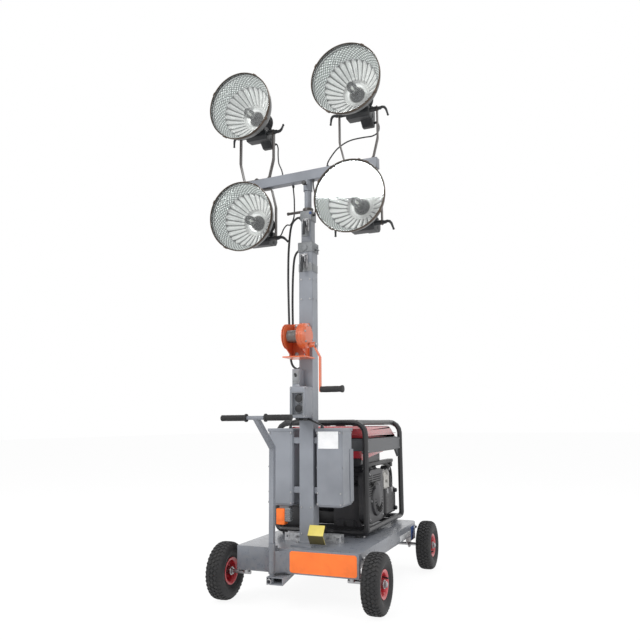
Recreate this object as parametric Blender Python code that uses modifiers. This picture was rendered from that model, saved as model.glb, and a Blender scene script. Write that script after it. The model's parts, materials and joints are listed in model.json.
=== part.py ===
# A mobile light tower: a hand-steered four-wheel deck with an open-frame generator, a
# three-stage winch mast and four round floodlights on a crossbar.
# X runs to the right as seen from the tow handle, Y to the rear and Z up, in metres.
# The origin is on the ground, midway between the four wheels.
import math

import bmesh
import bpy
from mathutils import Matrix, Vector

touch = 0.0003
overlap = 0.001

wheel_diameter = 0.26
tyre_width = 0.085
rim_seat_radius = 0.0505
rim_flange_radius = 0.062
rim_flange_thickness = 0.004
bead_width = 0.060
rim_steps = 12
hub_radius = 0.019
hub_length = 0.068
axle_radius = 0.0085
axle_play = 0.0006
track = 0.745
wheelbase = 0.954

wheel_gap = 0.0275
deck_half = track / 2 - tyre_width / 2 - wheel_gap
deck_top = 0.2514
deck_depth = 0.1075
skirt_depth = 0.0640
rear_skirt_depth = 0.0900
rear_skirt_run = 0.140
deck_sheet = 0.003
deck_corner = 0.006
deck_rear_corner = 0.045
deck_overhang = 0.023
deck_rear_overhang = 0.053
deck_front = -wheelbase / 2 - deck_overhang
deck_rear = wheelbase / 2 + deck_rear_overhang
deck_bottom = deck_top - deck_depth

kingpin_inset = 0.0405
kingpin_x = deck_half - kingpin_inset
kingpin_radius = 0.0075
kingpin_play = 0.0004
boss_wall = 0.0075
knuckle_arm = 0.07
knuckle_plate = 0.005
tie_pin_radius = 0.005
tie_rod_height = 0.012
tie_rod_width = 0.018

handle_x = -0.102
handle_y = deck_front - 0.035
handle_tube = 0.022
handle_bend = 0.70
handle_lean = 0.165
handle_rise = 0.1365
sleeve_radius = 0.0155
sleeve_bottom = 0.147
sleeve_top = 0.2795
spigot_radius = 0.0110
spigot_play = 0.0004
nose_half_base = 0.060
nose_half_tip = 0.013
nose_top = 0.262
cross_handle_radius = 0.009
cross_handle_half = 0.1697
grip_start = 0.0442
grip_length = 0.1305
grip_radius = 0.0135
grip_flange = 0.0178
arm_top = 0.1365
arm_low = 0.1035
arm_front = handle_y - 0.022
arm_half_width = 0.040
arm_wall = 0.003

mast_y = deck_front + 0.157
outer_size = 0.072
outer_top = 1.705
mid_size = 0.054
mid_top = 1.872
mid_length = 1.55
pole_radius = 0.0185
pole_length = 1.585
tube_wall = 0.003
clamp_wall = 0.004
clamp_height = 0.044
clamp_lip = 0.006
guide_play = 0.0007
base_plate_thickness = 0.008
base_plate_half = 0.052
base_plate_reach = 0.068

head_turn = -3.5
bar_height = 0.0535
bar_depth = 0.040
bar_half = 0.385
bar_bottom = 2.0461
socket_radius = 0.0235
socket_depth = 0.055

upper_reach = 0.2644
lower_reach = 0.2761
yoke_half_foot = 0.072
yoke_half_top = 0.100
yoke_bend = 0.100
yoke_width = 0.025
yoke_thickness = 0.005
# columns: name, place along the bar, turn in the bar's plane and tilt downwards in degrees, side of the bar
lamp_places = [("upper_left", -0.308, 3.2, 4.0, 1), ("upper_right", 0.285, 4.1, 2.7, 1),
               ("lower_left", -0.292, 3.3, 5.5, -1), ("lower_right", 0.299, 2.8, 0.9, -1)]
lamp_axis_rise = 0.0893
lamp_radius = 0.1725
lamp_depth = 0.191
lamp_rim_forward = 0.1942
reflector_sheet = 0.002
glass_play = 0.0005
glass_thickness = 0.004
housing_radius = 0.062
housing_length = 0.090
tail_left = 0.000
tail_right = 0.062
tail_drop = 0.062
tail_drop_low = 0.024
lead_radius = 0.004
trunnion_radius = 0.012

winch_axis_y = mast_y - 0.112
winch_axis_z = 1.225
crank_axis_z = 1.180
drum_flange_radius = 0.058
drum_core_radius = 0.026
drum_left = -0.062
drum_right = 0.0085
winch_plate = 0.004
gear_case_radius = 0.060
gear_case_depth = 0.036
crank_reach = 0.2125
crank_offset = 0.026
crank_grip_length = 0.112

box_width = 0.1325
box_depth = 0.150
box_bottom = 0.4215
box_top = 0.786
box_corner = 0.014
right_box_gap = 0.0133
left_box_gap = 0.0354
tab_depth = 0.020
tab_height = 0.028
tab_rows = (0.484, 0.716)
socket_box_width = 0.0802
socket_box_depth = 0.0957
socket_box_bottom = 0.836
socket_box_top = 0.984

rail_half = 0.146
rail_size = 0.038
rail_sheet = 0.0025
pedal_left = 0.028
pedal_right = 0.104

set_right = 0.2274
set_width = 0.5174
set_front = mast_y + 0.2096
set_length = 0.681
set_height = 0.571
set_foot = 0.006
set_tube_radius = 0.015
set_corner = 0.060
set_foot_corner = 0.025
set_rail_inset = 0.045
panel_height = 0.072
tank_height = 0.063
tank_side_inset = 0.030
cover_inset = 0.0374
cover_front = 0.120
cover_width = 0.266
cover_height = 0.272
cover_rise = 0.009
cover_depth = 0.055
cover_corner = 0.050
recoil_radius = 0.082
crankcase_width = 0.145
crankcase_length = 0.270
crankcase_height = 0.200
alternator_radius = 0.100
barrel_top = 0.310
filter_length = 0.205
filter_height = 0.140
filter_depth = 0.072
intake_radius = 0.019

collections = {}
for label in ("light_tower", "light_tower_cutters"):
    collections[label] = bpy.data.collections.new(label)
for old in list(bpy.data.objects):
    bpy.data.objects.remove(old, do_unlink=True)
for made in collections.values():
    bpy.context.scene.collection.children.link(made)

# columns: colour, roughness, metallic
paints = {
    "deck_grey": ((0.20, 0.215, 0.245), 0.38, 0.3),
    "mast_grey": ((0.22, 0.235, 0.265), 0.36, 0.3),
    "galvanised": ((0.55, 0.56, 0.57), 0.34, 0.9),
    "bar_grey": ((0.27, 0.285, 0.32), 0.40, 0.2),
    "yoke_brown": ((0.075, 0.065, 0.058), 0.55, 0.3),
    "black_cast": ((0.018, 0.018, 0.020), 0.50, 0.2),
    "reflector_metal": ((0.80, 0.81, 0.82), 0.12, 1.0),
    "clear_glass": ((0.85, 0.90, 0.90), 0.04, 0.0),
    "winch_orange": ((0.72, 0.12, 0.045), 0.40, 0.1),
    "rim_red": ((0.24, 0.018, 0.022), 0.42, 0.1),
    "tyre_rubber": ((0.022, 0.022, 0.023), 0.85, 0.0),
    "grip_rubber": ((0.016, 0.016, 0.017), 0.70, 0.0),
    "steel": ((0.42, 0.42, 0.43), 0.35, 1.0),
    "frame_black": ((0.016, 0.016, 0.018), 0.35, 0.1),
    "tank_red": ((0.30, 0.022, 0.026), 0.25, 0.0),
    "panel_dark": ((0.045, 0.048, 0.052), 0.45, 0.0),
    "engine_dark": ((0.035, 0.036, 0.040), 0.50, 0.3),
    "pedal_yellow": ((0.62, 0.52, 0.10), 0.45, 0.0),
    "cable_black": ((0.014, 0.014, 0.015), 0.60, 0.0),
}


def material(paint):
    made = bpy.data.materials.get(paint)
    if made is None:
        colour, roughness, metallic = paints[paint]
        made = bpy.data.materials.new(paint)
        made.use_nodes = True
        shader = made.node_tree.nodes["Principled BSDF"]
        shader.inputs["Base Color"].default_value = (*colour, 1.0)
        shader.inputs["Roughness"].default_value = roughness
        shader.inputs["Metallic"].default_value = metallic
    return made


def add_object(name, mesh, paint):
    part = bpy.data.objects.new(name, mesh)
    if paint is None:
        collections["light_tower_cutters"].objects.link(part)
        part.hide_render = True
        part.display_type = "WIRE"
    else:
        collections["light_tower"].objects.link(part)
        mesh.materials.append(material(paint))
    return part


def from_bmesh(name, shape, paint):
    mesh = bpy.data.meshes.new(name)
    shape.to_mesh(mesh)
    shape.free()
    return add_object(name, mesh, paint)


# A cuboid between two corners. Without a paint a shape only cuts or joins another.
def block(name, low, high, paint=None):
    low, high = Vector(low), Vector(high)
    shape = bmesh.new()
    bmesh.ops.create_cube(shape, size=1.0)
    bmesh.ops.scale(shape, vec=high - low, verts=shape.verts)
    bmesh.ops.translate(shape, vec=(low + high) / 2, verts=shape.verts)
    return from_bmesh(name, shape, paint)


# A round bar between two points, with its own radius at each end.
def rod(name, start, end, radius, paint=None, sides=20, end_radius=None):
    start, end = Vector(start), Vector(end)
    run = end - start
    shape = bmesh.new()
    bmesh.ops.create_cone(shape, cap_ends=True, segments=sides, depth=run.length, radius1=radius,
                          radius2=radius if end_radius is None else end_radius)
    turn = run.to_track_quat("Z", "Y").to_matrix().to_4x4()
    bmesh.ops.transform(shape, matrix=Matrix.Translation((start + end) / 2) @ turn, verts=shape.verts)
    return from_bmesh(name, shape, paint)


# A turned shape about its own Z axis. The outline runs (radius, height) from top to bottom
# on its outer side; a closed outline is a ring.
def turned(name, outline, steps, paint=None, closed=False):
    mesh = bpy.data.meshes.new(name)
    points = [(radius, 0.0, height) for radius, height in outline]
    edges = [(i, i + 1) for i in range(len(points) - 1)]
    if closed:
        edges.append((len(points) - 1, 0))
    mesh.from_pydata(points, edges, [])
    part = add_object(name, mesh, paint)
    screw = part.modifiers.new("turn", "SCREW")
    screw.steps = steps
    screw.render_steps = steps
    screw.use_merge_vertices = True
    screw.merge_threshold = 0.00005
    return part


# Straight runs joined by arcs, of one radius or one for each corner.
def rounded_path(corners, radii, steps, closed=False):
    corners = [Vector(corner) for corner in corners]
    if not isinstance(radii, (list, tuple)):
        radii = [radii] * len(corners)
    path = []
    for i, corner in enumerate(corners):
        if not closed and i in (0, len(corners) - 1):
            path.append(corner)
            continue
        before = (corners[i - 1] - corner).normalized()
        after = (corners[(i + 1) % len(corners)] - corner).normalized()
        half = before.angle(after) / 2
        radius = radii[i]
        reach = radius / math.tan(half)
        centre = corner + (before + after).normalized() * radius / math.sin(half)
        first = (corner + before * reach - centre).normalized()
        last = (corner + after * reach - centre).normalized()
        for step in range(steps + 1):
            path.append(centre + first.slerp(last, step / steps) * radius)
    return path


# A smooth curve through a cable's own points, spaced a few diameters apart.
def smooth_path(points, spacing):
    points = [Vector(point) for point in points]
    ends = [2 * points[0] - points[1]] + points + [2 * points[-1] - points[-2]]
    path = []
    for i in range(len(points) - 1):
        a, b, c, d = ends[i:i + 4]
        pieces = max(1, round((c - b).length / spacing))
        for step in range(pieces):
            t = step / pieces
            path.append(0.5 * (2 * b + (c - a) * t + (2 * a - 5 * b + 4 * c - d) * t ** 2
                               + (3 * b - a - 3 * c + d) * t ** 3))
    path.append(points[-1])
    return path


def curve_to_mesh(name, curve, paint):
    holder = bpy.data.objects.new(name, curve)
    collections["light_tower"].objects.link(holder)
    bpy.context.view_layer.update()
    graph = bpy.context.evaluated_depsgraph_get()
    mesh = bpy.data.meshes.new_from_object(holder.evaluated_get(graph))
    bpy.data.objects.remove(holder, do_unlink=True)
    mesh.materials.clear()
    shape = bmesh.new()
    shape.from_mesh(mesh)
    bmesh.ops.remove_doubles(shape, verts=shape.verts, dist=0.00001)
    shape.to_mesh(mesh)
    shape.free()
    return add_object(name, mesh, paint)


def tube(name, path, radius, paint=None, resolution=2, closed=False):
    curve = bpy.data.curves.new(name, "CURVE")
    curve.dimensions = "3D"
    spline = curve.splines.new("POLY")
    spline.points.add(len(path) - 1)
    for point, place in zip(spline.points, path):
        point.co = (*place, 1.0)
    spline.use_cyclic_u = closed
    curve.bevel_depth = radius
    curve.bevel_resolution = resolution
    curve.use_fill_caps = True
    return curve_to_mesh(name, curve, paint)


# A flat outline in its own XY plane, from low to high along its own Z.
def plate(name, outline, low, high, paint=None):
    curve = bpy.data.curves.new(name, "CURVE")
    curve.dimensions = "2D"
    curve.fill_mode = "BOTH"
    curve.extrude = (high - low) / 2
    spline = curve.splines.new("POLY")
    spline.points.add(len(outline) - 1)
    for point, place in zip(spline.points, outline):
        point.co = (place[0], place[1], 0.0, 1.0)
    spline.use_cyclic_u = True
    part = curve_to_mesh(name, curve, paint)
    part.data.transform(Matrix.Translation((0.0, 0.0, (low + high) / 2)))
    return part


# Turns an outline drawn as (Y, Z) so that it is extruded along X.
def stand_along_x(part):
    part.data.transform(Matrix(((0, 0, 1, 0), (1, 0, 0, 0), (0, 1, 0, 0), (0, 0, 0, 1))))
    return part


# Turns an outline drawn as (X, Z) so that it is extruded along Y.
def stand_along_y(part, y):
    part.data.transform(Matrix.Translation((0.0, y, 0.0)) @ Matrix.Rotation(math.pi / 2, 4, "X"))
    return part


def boolean(part, tool, operation):
    change = part.modifiers.new(operation.lower(), "BOOLEAN")
    change.operation = operation
    change.object = tool
    change.solver = "EXACT"


def fuse(part, *tools):
    for tool in tools:
        boolean(part, tool, "UNION")


def cut(part, *tools):
    for tool in tools:
        boolean(part, tool, "DIFFERENCE")


def bevel(part, width, segments=1, angle=40.0):
    soften = part.modifiers.new("edges", "BEVEL")
    soften.width = width
    soften.segments = segments
    soften.limit_method = "ANGLE"
    soften.angle_limit = math.radians(angle)
    soften.use_clamp_overlap = True


def solidify(part, thickness, offset):
    sheet = part.modifiers.new("sheet", "SOLIDIFY")
    sheet.thickness = thickness
    sheet.offset = offset
    sheet.use_even_offset = True


# Moves a part's origin to its joint's axis and leaves its shape where it is.
def set_pivot(part, pivot):
    pivot = Vector(pivot)
    part.data.transform(Matrix.Translation(-pivot))
    part.location = pivot


def guide(name, place, parent=None):
    empty = bpy.data.objects.new(name, None)
    collections["light_tower_cutters"].objects.link(empty)
    empty.location = place
    if parent is not None:
        empty.parent = parent
    return empty


def ride(parent, *parts):
    for part in parts:
        part.parent = parent


wheel_radius = wheel_diameter / 2
front_axle_y = -wheelbase / 2
rear_axle_y = wheelbase / 2
tie_y = front_axle_y + knuckle_arm
boss_bottom = deck_bottom + knuckle_plate + 0.0010
knuckle_plate_low = boss_bottom - touch - knuckle_plate
boss_radius = kingpin_radius + kingpin_play + boss_wall
axle_end = track / 2 + hub_length / 2 + touch + 0.009


# The deck is a folded tray, open below, deep in front and shallow along its sides, with two
# kingpin bosses and the nose that carries the tow handle's sleeve.
def make_deck():
    corners = [(-deck_half, deck_front, 0.0), (deck_half, deck_front, 0.0), (deck_half, deck_rear, 0.0),
               (-deck_half, deck_rear, 0.0)]
    outline = rounded_path(corners, [deck_corner, deck_corner, deck_rear_corner, deck_rear_corner], 3,
                           closed=True)
    deck = plate("deck", outline, deck_bottom, deck_top, "deck_grey")
    shape = bmesh.new()
    shape.from_mesh(deck.data)
    floor = [face for face in shape.faces if face.normal.z < -0.5]
    bmesh.ops.delete(shape, geom=floor, context="FACES")
    shape.to_mesh(deck.data)
    shape.free()
    solidify(deck, deck_sheet, -1.0)
    for label, start, end, low in (("side", deck_front + 0.014, deck_rear - rear_skirt_run, skirt_depth),
                                   ("rear", deck_rear - rear_skirt_run - 0.001, deck_rear + 0.1,
                                    rear_skirt_depth)):
        cut(deck, block(f"skirt_{label}", (-deck_half - 0.1, start, deck_bottom - 0.1),
                        (deck_half + 0.1, end, deck_top - low)))
    inside_top = deck_top - deck_sheet + overlap
    for side in (-1, 1):
        x = side * kingpin_x
        boss = rod(f"boss_{side}", (x, front_axle_y, boss_bottom), (x, front_axle_y, inside_top),
                   boss_radius)
        fuse(deck, boss)
    nose = plate("nose", [(handle_x - nose_half_base, deck_front + overlap),
                          (handle_x - nose_half_tip, handle_y),
                          (handle_x + nose_half_tip, handle_y),
                          (handle_x + nose_half_base, deck_front + overlap)],
                 deck_bottom + 0.006, deck_top - 0.008)
    crest_half = nose_half_tip - 0.0006
    crest = block("nose_crest", (handle_x - crest_half, handle_y + 0.0007, deck_bottom + 0.010),
                  (handle_x + crest_half, deck_front + 0.0017, nose_top))
    sleeve = rod("sleeve", (handle_x, handle_y, sleeve_bottom), (handle_x, handle_y, sleeve_top),
                 sleeve_radius, sides=24)
    fuse(nose, crest, sleeve)
    fuse(deck, nose)
    for side in (-1, 1):
        x = side * kingpin_x
        bore = rod(f"boss_bore_{side}", (x, front_axle_y, boss_bottom - 0.01),
                   (x, front_axle_y, deck_top - 0.012), kingpin_radius + kingpin_play)
        cut(deck, bore)
    bore = rod("sleeve_bore", (handle_x, handle_y, sleeve_bottom - 0.01),
               (handle_x, handle_y, sleeve_top + 0.01), spigot_radius + spigot_play, sides=24)
    cut(deck, bore)


# A collar inside and a nut outside hold each wheel on its axle.
def fit_wheel_stops(axle, name, side, y):
    inner_face = side * (track / 2 - hub_length / 2 - touch)
    outer_face = side * (track / 2 + hub_length / 2 + touch)
    collar = rod(f"{name}_collar", (inner_face - side * 0.006, y, wheel_radius),
                 (inner_face, y, wheel_radius), 0.0135, sides=16)
    nut = rod(f"{name}_nut", (outer_face, y, wheel_radius), (outer_face + side * 0.006, y, wheel_radius),
              0.0125, sides=6)
    fuse(axle, collar, nut)


def make_knuckles():
    for label, side in (("left", -1), ("right", 1)):
        x = side * kingpin_x
        name = f"knuckle_{label}"
        knuckle = rod(name, (side * (kingpin_x - 0.022), front_axle_y, wheel_radius),
                      (side * axle_end, front_axle_y, wheel_radius), axle_radius, "steel", sides=16)
        fit_wheel_stops(knuckle, name, side, front_axle_y)
        kingpin = rod(f"{name}_pin", (x, front_axle_y, wheel_radius),
                      (x, front_axle_y, deck_top - 0.014), kingpin_radius)
        flange = rod(f"{name}_flange", (x, front_axle_y, wheel_radius),
                     (x, front_axle_y, boss_bottom - touch), 0.0155)
        arm = block(f"{name}_arm", (x - 0.010, front_axle_y, knuckle_plate_low),
                    (x + 0.010, tie_y + 0.010, boss_bottom - touch))
        pin = rod(f"{name}_tie_pin", (x, tie_y, knuckle_plate_low + overlap),
                  (x, tie_y, boss_bottom + tie_rod_height + 0.003), tie_pin_radius)
        fuse(knuckle, flange, kingpin, arm, pin)
        set_pivot(knuckle, (x, front_axle_y, 0.0))


# The tie rod turns on both knuckles' pins and is pushed by its own pin in the slot of the
# tow column's arm.
def make_tie_rod():
    low = boss_bottom
    high = low + tie_rod_height
    rail = block("tie_rod", (-kingpin_x, tie_y - tie_rod_width / 2, low),
                 (kingpin_x, tie_y + tie_rod_width / 2, high), "steel")
    drive = rod("tie_drive", (handle_x, tie_y, low + overlap), (handle_x, tie_y, arm_top - 0.008),
                tie_pin_radius)
    fuse(rail, drive)
    for side in (-1, 1):
        x = side * kingpin_x
        eye = rod(f"tie_eye_{side}", (x, tie_y, low), (x, tie_y, high), 0.0125)
        fuse(rail, eye)
    for side in (-1, 1):
        x = side * kingpin_x
        cut(rail, rod(f"tie_hole_{side}", (x, tie_y, low - 0.01), (x, tie_y, high + 0.01),
                      tie_pin_radius + 0.0005))
    set_pivot(rail, (-kingpin_x, tie_y, 0.0))


def make_rear_axle():
    axle = rod("rear_axle", (-axle_end, rear_axle_y, wheel_radius), (axle_end, rear_axle_y, wheel_radius),
               axle_radius, "steel", sides=16)
    for label, side in (("left", -1), ("right", 1)):
        x = side * (deck_half - 0.030)
        # columns: Y and Z of the hanger's side outline
        hanger = [(-0.075, deck_top - deck_sheet - touch), (-0.075, deck_bottom + 0.012),
                  (-0.018, wheel_radius - 0.016), (0.018, wheel_radius - 0.016),
                  (0.040, deck_bottom + 0.012), (0.040, deck_top - deck_sheet - touch)]
        web = plate(f"hanger_{label}", [(rear_axle_y + y - 0.008, z) for y, z in hanger], x - 0.002, x + 0.002)
        stand_along_x(web)
        fuse(axle, web)
        fit_wheel_stops(axle, f"rear_axle_{label}", side, rear_axle_y)
    set_pivot(axle, (0.0, rear_axle_y, wheel_radius))


# The tow column: a square tube above a round spigot, leaning forward to a cross handle,
# with a tapered hollow arm below that swings the tie rod.
def make_tow_column():
    half = handle_tube / 2
    top_y = handle_y - handle_lean
    top_z = handle_bend + handle_rise
    column = block("tow_column", (handle_x - half, handle_y - half, sleeve_top + touch),
                   (handle_x + half, handle_y + half, handle_bend + half * 0.4), "deck_grey")
    run = Vector((0.0, -handle_lean, handle_rise))
    lean = block("handle_lean", (-half, -half, -half * 0.4), (half, half, run.length))
    lean.rotation_euler = (math.atan2(handle_lean, handle_rise), 0.0, 0.0)
    lean.location = (handle_x, handle_y, handle_bend)
    cross = rod("cross_handle", (handle_x - cross_handle_half, top_y, top_z),
                (handle_x + cross_handle_half, top_y, top_z), cross_handle_radius, sides=16)
    spigot = rod("spigot", (handle_x, handle_y, arm_low), (handle_x, handle_y, sleeve_top + 0.01),
                 spigot_radius, sides=24)
    arm_rear = tie_y + 0.017
    solid_from = tie_y - 0.023
    outline = [(arm_front, arm_top), (arm_rear, arm_top), (arm_rear, arm_top - 0.010),
               (solid_from, arm_top - 0.010), (arm_front, arm_low)]
    hollow = [(arm_front - 0.01, arm_top - arm_wall), (solid_from - 0.006, arm_top - arm_wall),
              (solid_from - 0.006, arm_top - 0.0075), (arm_front - 0.01, arm_low + arm_wall * 0.9)]
    left = handle_x - 0.016
    right = left + 2 * arm_half_width
    arm = stand_along_x(plate("pitman_arm", outline, left, right))
    cavity = stand_along_x(plate("arm_cavity", hollow, left + arm_wall, right - arm_wall))
    slot = block("arm_slot", (handle_x - tie_pin_radius - touch, tie_y - 0.010, arm_low),
                 (handle_x + tie_pin_radius + touch, tie_y + 0.010, arm_top + 0.01))
    cut(arm, cavity, slot)
    fuse(column, lean, cross, spigot, arm)
    set_pivot(column, (handle_x, handle_y, 0.0))
    bore = cross_handle_radius + touch
    outline = [(0.0, grip_length), (0.0120, grip_length), (0.0155, grip_length - 0.004),
               (0.0155, grip_length - 0.009), (grip_radius, grip_length - 0.013),
               (grip_radius, 0.009), (grip_flange, 0.006), (grip_flange, 0.0),
               (bore, 0.0), (bore, grip_length - 0.004), (0.0, grip_length - 0.004)]
    for label, side in (("left", -1), ("right", 1)):
        grip = turned(f"grip_{label}", outline, 16, "grip_rubber")
        grip.rotation_euler = (0.0, side * math.pi / 2, 0.0)
        grip.location = (handle_x + side * grip_start, top_y, top_z)


tyre_outline = [(rim_seat_radius + touch, bead_width / 2 - 0.001), (0.066, bead_width / 2 - 0.001),
                (0.082, tyre_width / 2 - 0.002), (0.100, tyre_width / 2),
                (0.116, tyre_width / 2 - 0.003), (0.1265, 0.031), (wheel_radius, 0.017)]


def make_wheels():
    # a tyre is the same on both sides of its middle
    upper = [(radius, height) for radius, height in tyre_outline]
    lower = [(radius, -height) for radius, height in reversed(tyre_outline)]
    flange_in = bead_width / 2 - 0.001 + touch
    flange_out = flange_in + rim_flange_thickness
    bore = axle_radius + axle_play / 2
    half = hub_length / 2
    rim_outline = [(bore, half), (hub_radius, half), (hub_radius, 0.008), (0.024, 0.006),
                   (0.044, 0.001), (0.0455, flange_out - 0.003), (0.059, flange_out),
                   (rim_flange_radius, flange_out - 0.001), (rim_flange_radius, flange_in),
                   (rim_seat_radius, flange_in), (rim_seat_radius, -flange_in),
                   (rim_flange_radius, -flange_in), (rim_flange_radius, -flange_out + 0.001),
                   (0.059, -flange_out), (0.0455, -flange_out + 0.003), (0.0445, -0.003),
                   (0.024, 0.001), (hub_radius, 0.001), (hub_radius, -half), (bore, -half)]
    # columns: name, side of the deck, axle
    for label, side, y in (("front_left", -1, front_axle_y), ("front_right", 1, front_axle_y),
                           ("rear_left", -1, rear_axle_y), ("rear_right", 1, rear_axle_y)):
        place = (side * track / 2, y, wheel_radius)
        tyre = turned(f"tyre_{label}", upper + lower, 2 * rim_steps, "tyre_rubber", closed=True)
        rim = turned(f"rim_{label}", rim_outline, rim_steps, "rim_red", closed=True)
        for part in (tyre, rim):
            part.rotation_euler = (0.0, side * math.pi / 2, 0.0)
            part.location = place


# A square tube, open at both ends.
def square_tube(name, size, low, high, paint):
    half = size / 2
    part = block(name, (-half, mast_y - half, low), (half, mast_y + half, high), paint)
    shape = bmesh.new()
    shape.from_mesh(part.data)
    ends = [face for face in shape.faces if abs(face.normal.z) > 0.5]
    bmesh.ops.delete(shape, geom=ends, context="FACES")
    shape.to_mesh(part.data)
    shape.free()
    bevel(part, tube_wall, 2)
    solidify(part, tube_wall, -1.0)
    return part


# A galvanised collar around a tube's mouth; its lip guides the next stage.
def clamp(name, size, top, opening):
    inner = size / 2 + touch
    outer = inner + clamp_wall
    low = top - clamp_height
    high = top + touch + clamp_lip
    collar = block(name, (-outer, mast_y - outer, low), (outer, mast_y + outer, high), "galvanised")
    bevel(collar, 0.0012)
    cut(collar, block(f"{name}_socket", (-inner, mast_y - inner, low - 0.01),
                      (inner, mast_y + inner, top + touch)))
    cut(collar, opening)
    return collar


def make_mast():
    half = outer_size / 2
    plate_top = deck_top + touch + base_plate_thickness
    outer = square_tube("mast_outer", outer_size, plate_top - overlap, outer_top, "mast_grey")
    base = block("mast_base_plate", (-base_plate_half, mast_y - half - base_plate_reach, deck_top + touch),
                 (base_plate_half, mast_y + half + 0.0005, plate_top))
    fuse(outer, base)
    guide_half = mid_size / 2 + guide_play
    clamp("mast_clamp", outer_size, outer_top,
          block("mast_clamp_mouth", (-guide_half, mast_y - guide_half, outer_top - 0.01),
                (guide_half, mast_y + guide_half, outer_top + 0.05)))
    middle = square_tube("mast_middle", mid_size, mid_top - mid_length, mid_top, "mast_grey")
    collar = clamp("middle_clamp", mid_size, mid_top,
                   rod("middle_clamp_mouth", (0.0, mast_y, mid_top - 0.01), (0.0, mast_y, mid_top + 0.05),
                       pole_radius + guide_play, sides=24))
    pole_top = bar_bottom - touch * 2
    pole = turned("top_pole", [(pole_radius, pole_top), (pole_radius, pole_top - pole_length),
                               (pole_radius - tube_wall, pole_top - pole_length),
                               (pole_radius - tube_wall, pole_top)], 20, "mast_grey", closed=True)
    pole.location = (0.0, mast_y, 0.0)
    for part in (middle, collar):
        set_pivot(part, (0.0, mast_y, 0.0))


def make_head():
    half = bar_depth / 2
    top = bar_bottom + bar_height
    turn = guide("head_axis", (0.0, mast_y, 0.0))
    turn.rotation_euler = (0.0, 0.0, math.radians(head_turn))
    bar = block("crossbar", (-bar_half, -half, bar_bottom), (bar_half, half, top), "bar_grey")
    bevel(bar, 0.002)
    cup = rod("crossbar_cup", (0.0, 0.0, bar_bottom - socket_depth), (0.0, 0.0, bar_bottom + overlap),
              socket_radius, sides=24)
    bore = rod("crossbar_bore", (0.0, 0.0, bar_bottom - socket_depth - 0.01),
               (0.0, 0.0, bar_bottom - touch), pole_radius + touch, sides=24)
    cut(cup, bore)
    fuse(bar, cup)
    ride(turn, bar, cup, bore)
    for label, x, swing, droop, up in lamp_places:
        stem = guide(f"{label}_stem", (x, 0.0, top if up > 0 else bar_bottom), turn)
        stem.rotation_euler = (0.0, 0.0, math.radians(swing))
        make_lamp(label, stem, upper_reach if up > 0 else lower_reach, droop, up)


# Each lead meets a side face of the housing, which slides past its end as the lamp tilts: the
# first two points, in the lamp's own frame.
side_exit = {"upper_left": [(tail_right + touch, 0.078, -0.038), (0.078, 0.078, -0.038)],
             "upper_right": [(tail_right + touch, 0.078, -0.038), (0.078, 0.078, -0.038)],
             "lower_left": [(tail_right + touch, 0.074, 0.020), (0.078, 0.074, 0.020)],
             "lower_right": [(-tail_right - touch, 0.040, -0.012), (-0.078, 0.040, -0.012)]}

# The rest of each lead's route, from the middle of the yoke's foot.
lead_routes = {
    "upper_left": [(0.088, 0.078, 0.206), (0.091, 0.072, 0.175), (0.097, 0.062, 0.140), (0.108, 0.048, 0.101),
                   (0.134, 0.026, 0.055), (0.148, 0.011, 0.022), (0.148, 0.010, 0.0003)],
    "upper_right": [(0.086, 0.078, 0.200), (0.078, 0.078, 0.174), (0.050, 0.077, 0.160), (0.010, 0.076, 0.160),
                    (-0.050, 0.067, 0.154), (-0.093, 0.058, 0.138), (-0.134, 0.046, 0.105),
                    (-0.160, 0.024, 0.056), (-0.171, 0.010, 0.022), (-0.171, 0.010, 0.0003)],
    "lower_left": [(0.094, 0.076, -0.236), (0.108, 0.078, -0.205), (0.126, 0.080, -0.186), (0.156, 0.062, -0.192),
                   (0.186, 0.040, -0.158), (0.196, 0.022, -0.080), (0.196, 0.011, -0.022),
                   (0.196, 0.010, -0.0003)],
    "lower_right": [(-0.092, 0.046, -0.262), (-0.104, 0.050, -0.215), (-0.122, 0.045, -0.140),
                    (-0.138, 0.028, -0.075), (-0.142, 0.012, -0.035), (-0.142, 0.010, -0.0003)],
}


# A lamp: its yoke stands on the bar or hangs from it, and the lamp tilts between its arms.
def make_lamp(label, stem, reach, droop, up):
    lean = Matrix.Translation((0.0, 0.0, up * reach)) @ Matrix.Rotation(math.radians(droop), 4, "X")
    start = [lean @ Vector(point) for point in side_exit[label]]
    route = start + [Vector(point) for point in lead_routes[label]]
    lead = tube(f"lamp_lead_{label}", smooth_path(route, lead_radius * 5), lead_radius, "cable_black", 1)
    ride(stem, lead)
    seat = touch + yoke_thickness / 2
    # columns: X and height of the yoke's middle line
    line = [(-yoke_half_top, reach + 0.014), (-yoke_half_top, yoke_bend), (-yoke_half_foot, seat),
            (yoke_half_foot, seat), (yoke_half_top, yoke_bend), (yoke_half_top, reach + 0.014)]
    mesh = bpy.data.meshes.new(f"yoke_{label}")
    mesh.from_pydata([(px, -yoke_width / 2, up * pz) for px, pz in line],
                     [(i, i + 1) for i in range(len(line) - 1)], [])
    yoke = add_object(f"yoke_{label}", mesh, "yoke_brown")
    shape = bmesh.new()
    shape.from_mesh(mesh)
    swept = bmesh.ops.extrude_edge_only(shape, edges=shape.edges[:])
    moved = [item for item in swept["geom"] if isinstance(item, bmesh.types.BMVert)]
    bmesh.ops.translate(shape, vec=(0.0, yoke_width, 0.0), verts=moved)
    bmesh.ops.recalc_face_normals(shape, faces=shape.faces[:])
    shape.to_mesh(mesh)
    shape.free()
    solidify(yoke, yoke_thickness, 0.0)
    tilt = guide(f"{label}_tilt", (0.0, 0.0, up * reach), stem)
    tilt.rotation_euler = (math.radians(droop), 0.0, 0.0)
    ride(stem, yoke)
    ride(tilt, *make_lamp_body(label, up))


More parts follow.
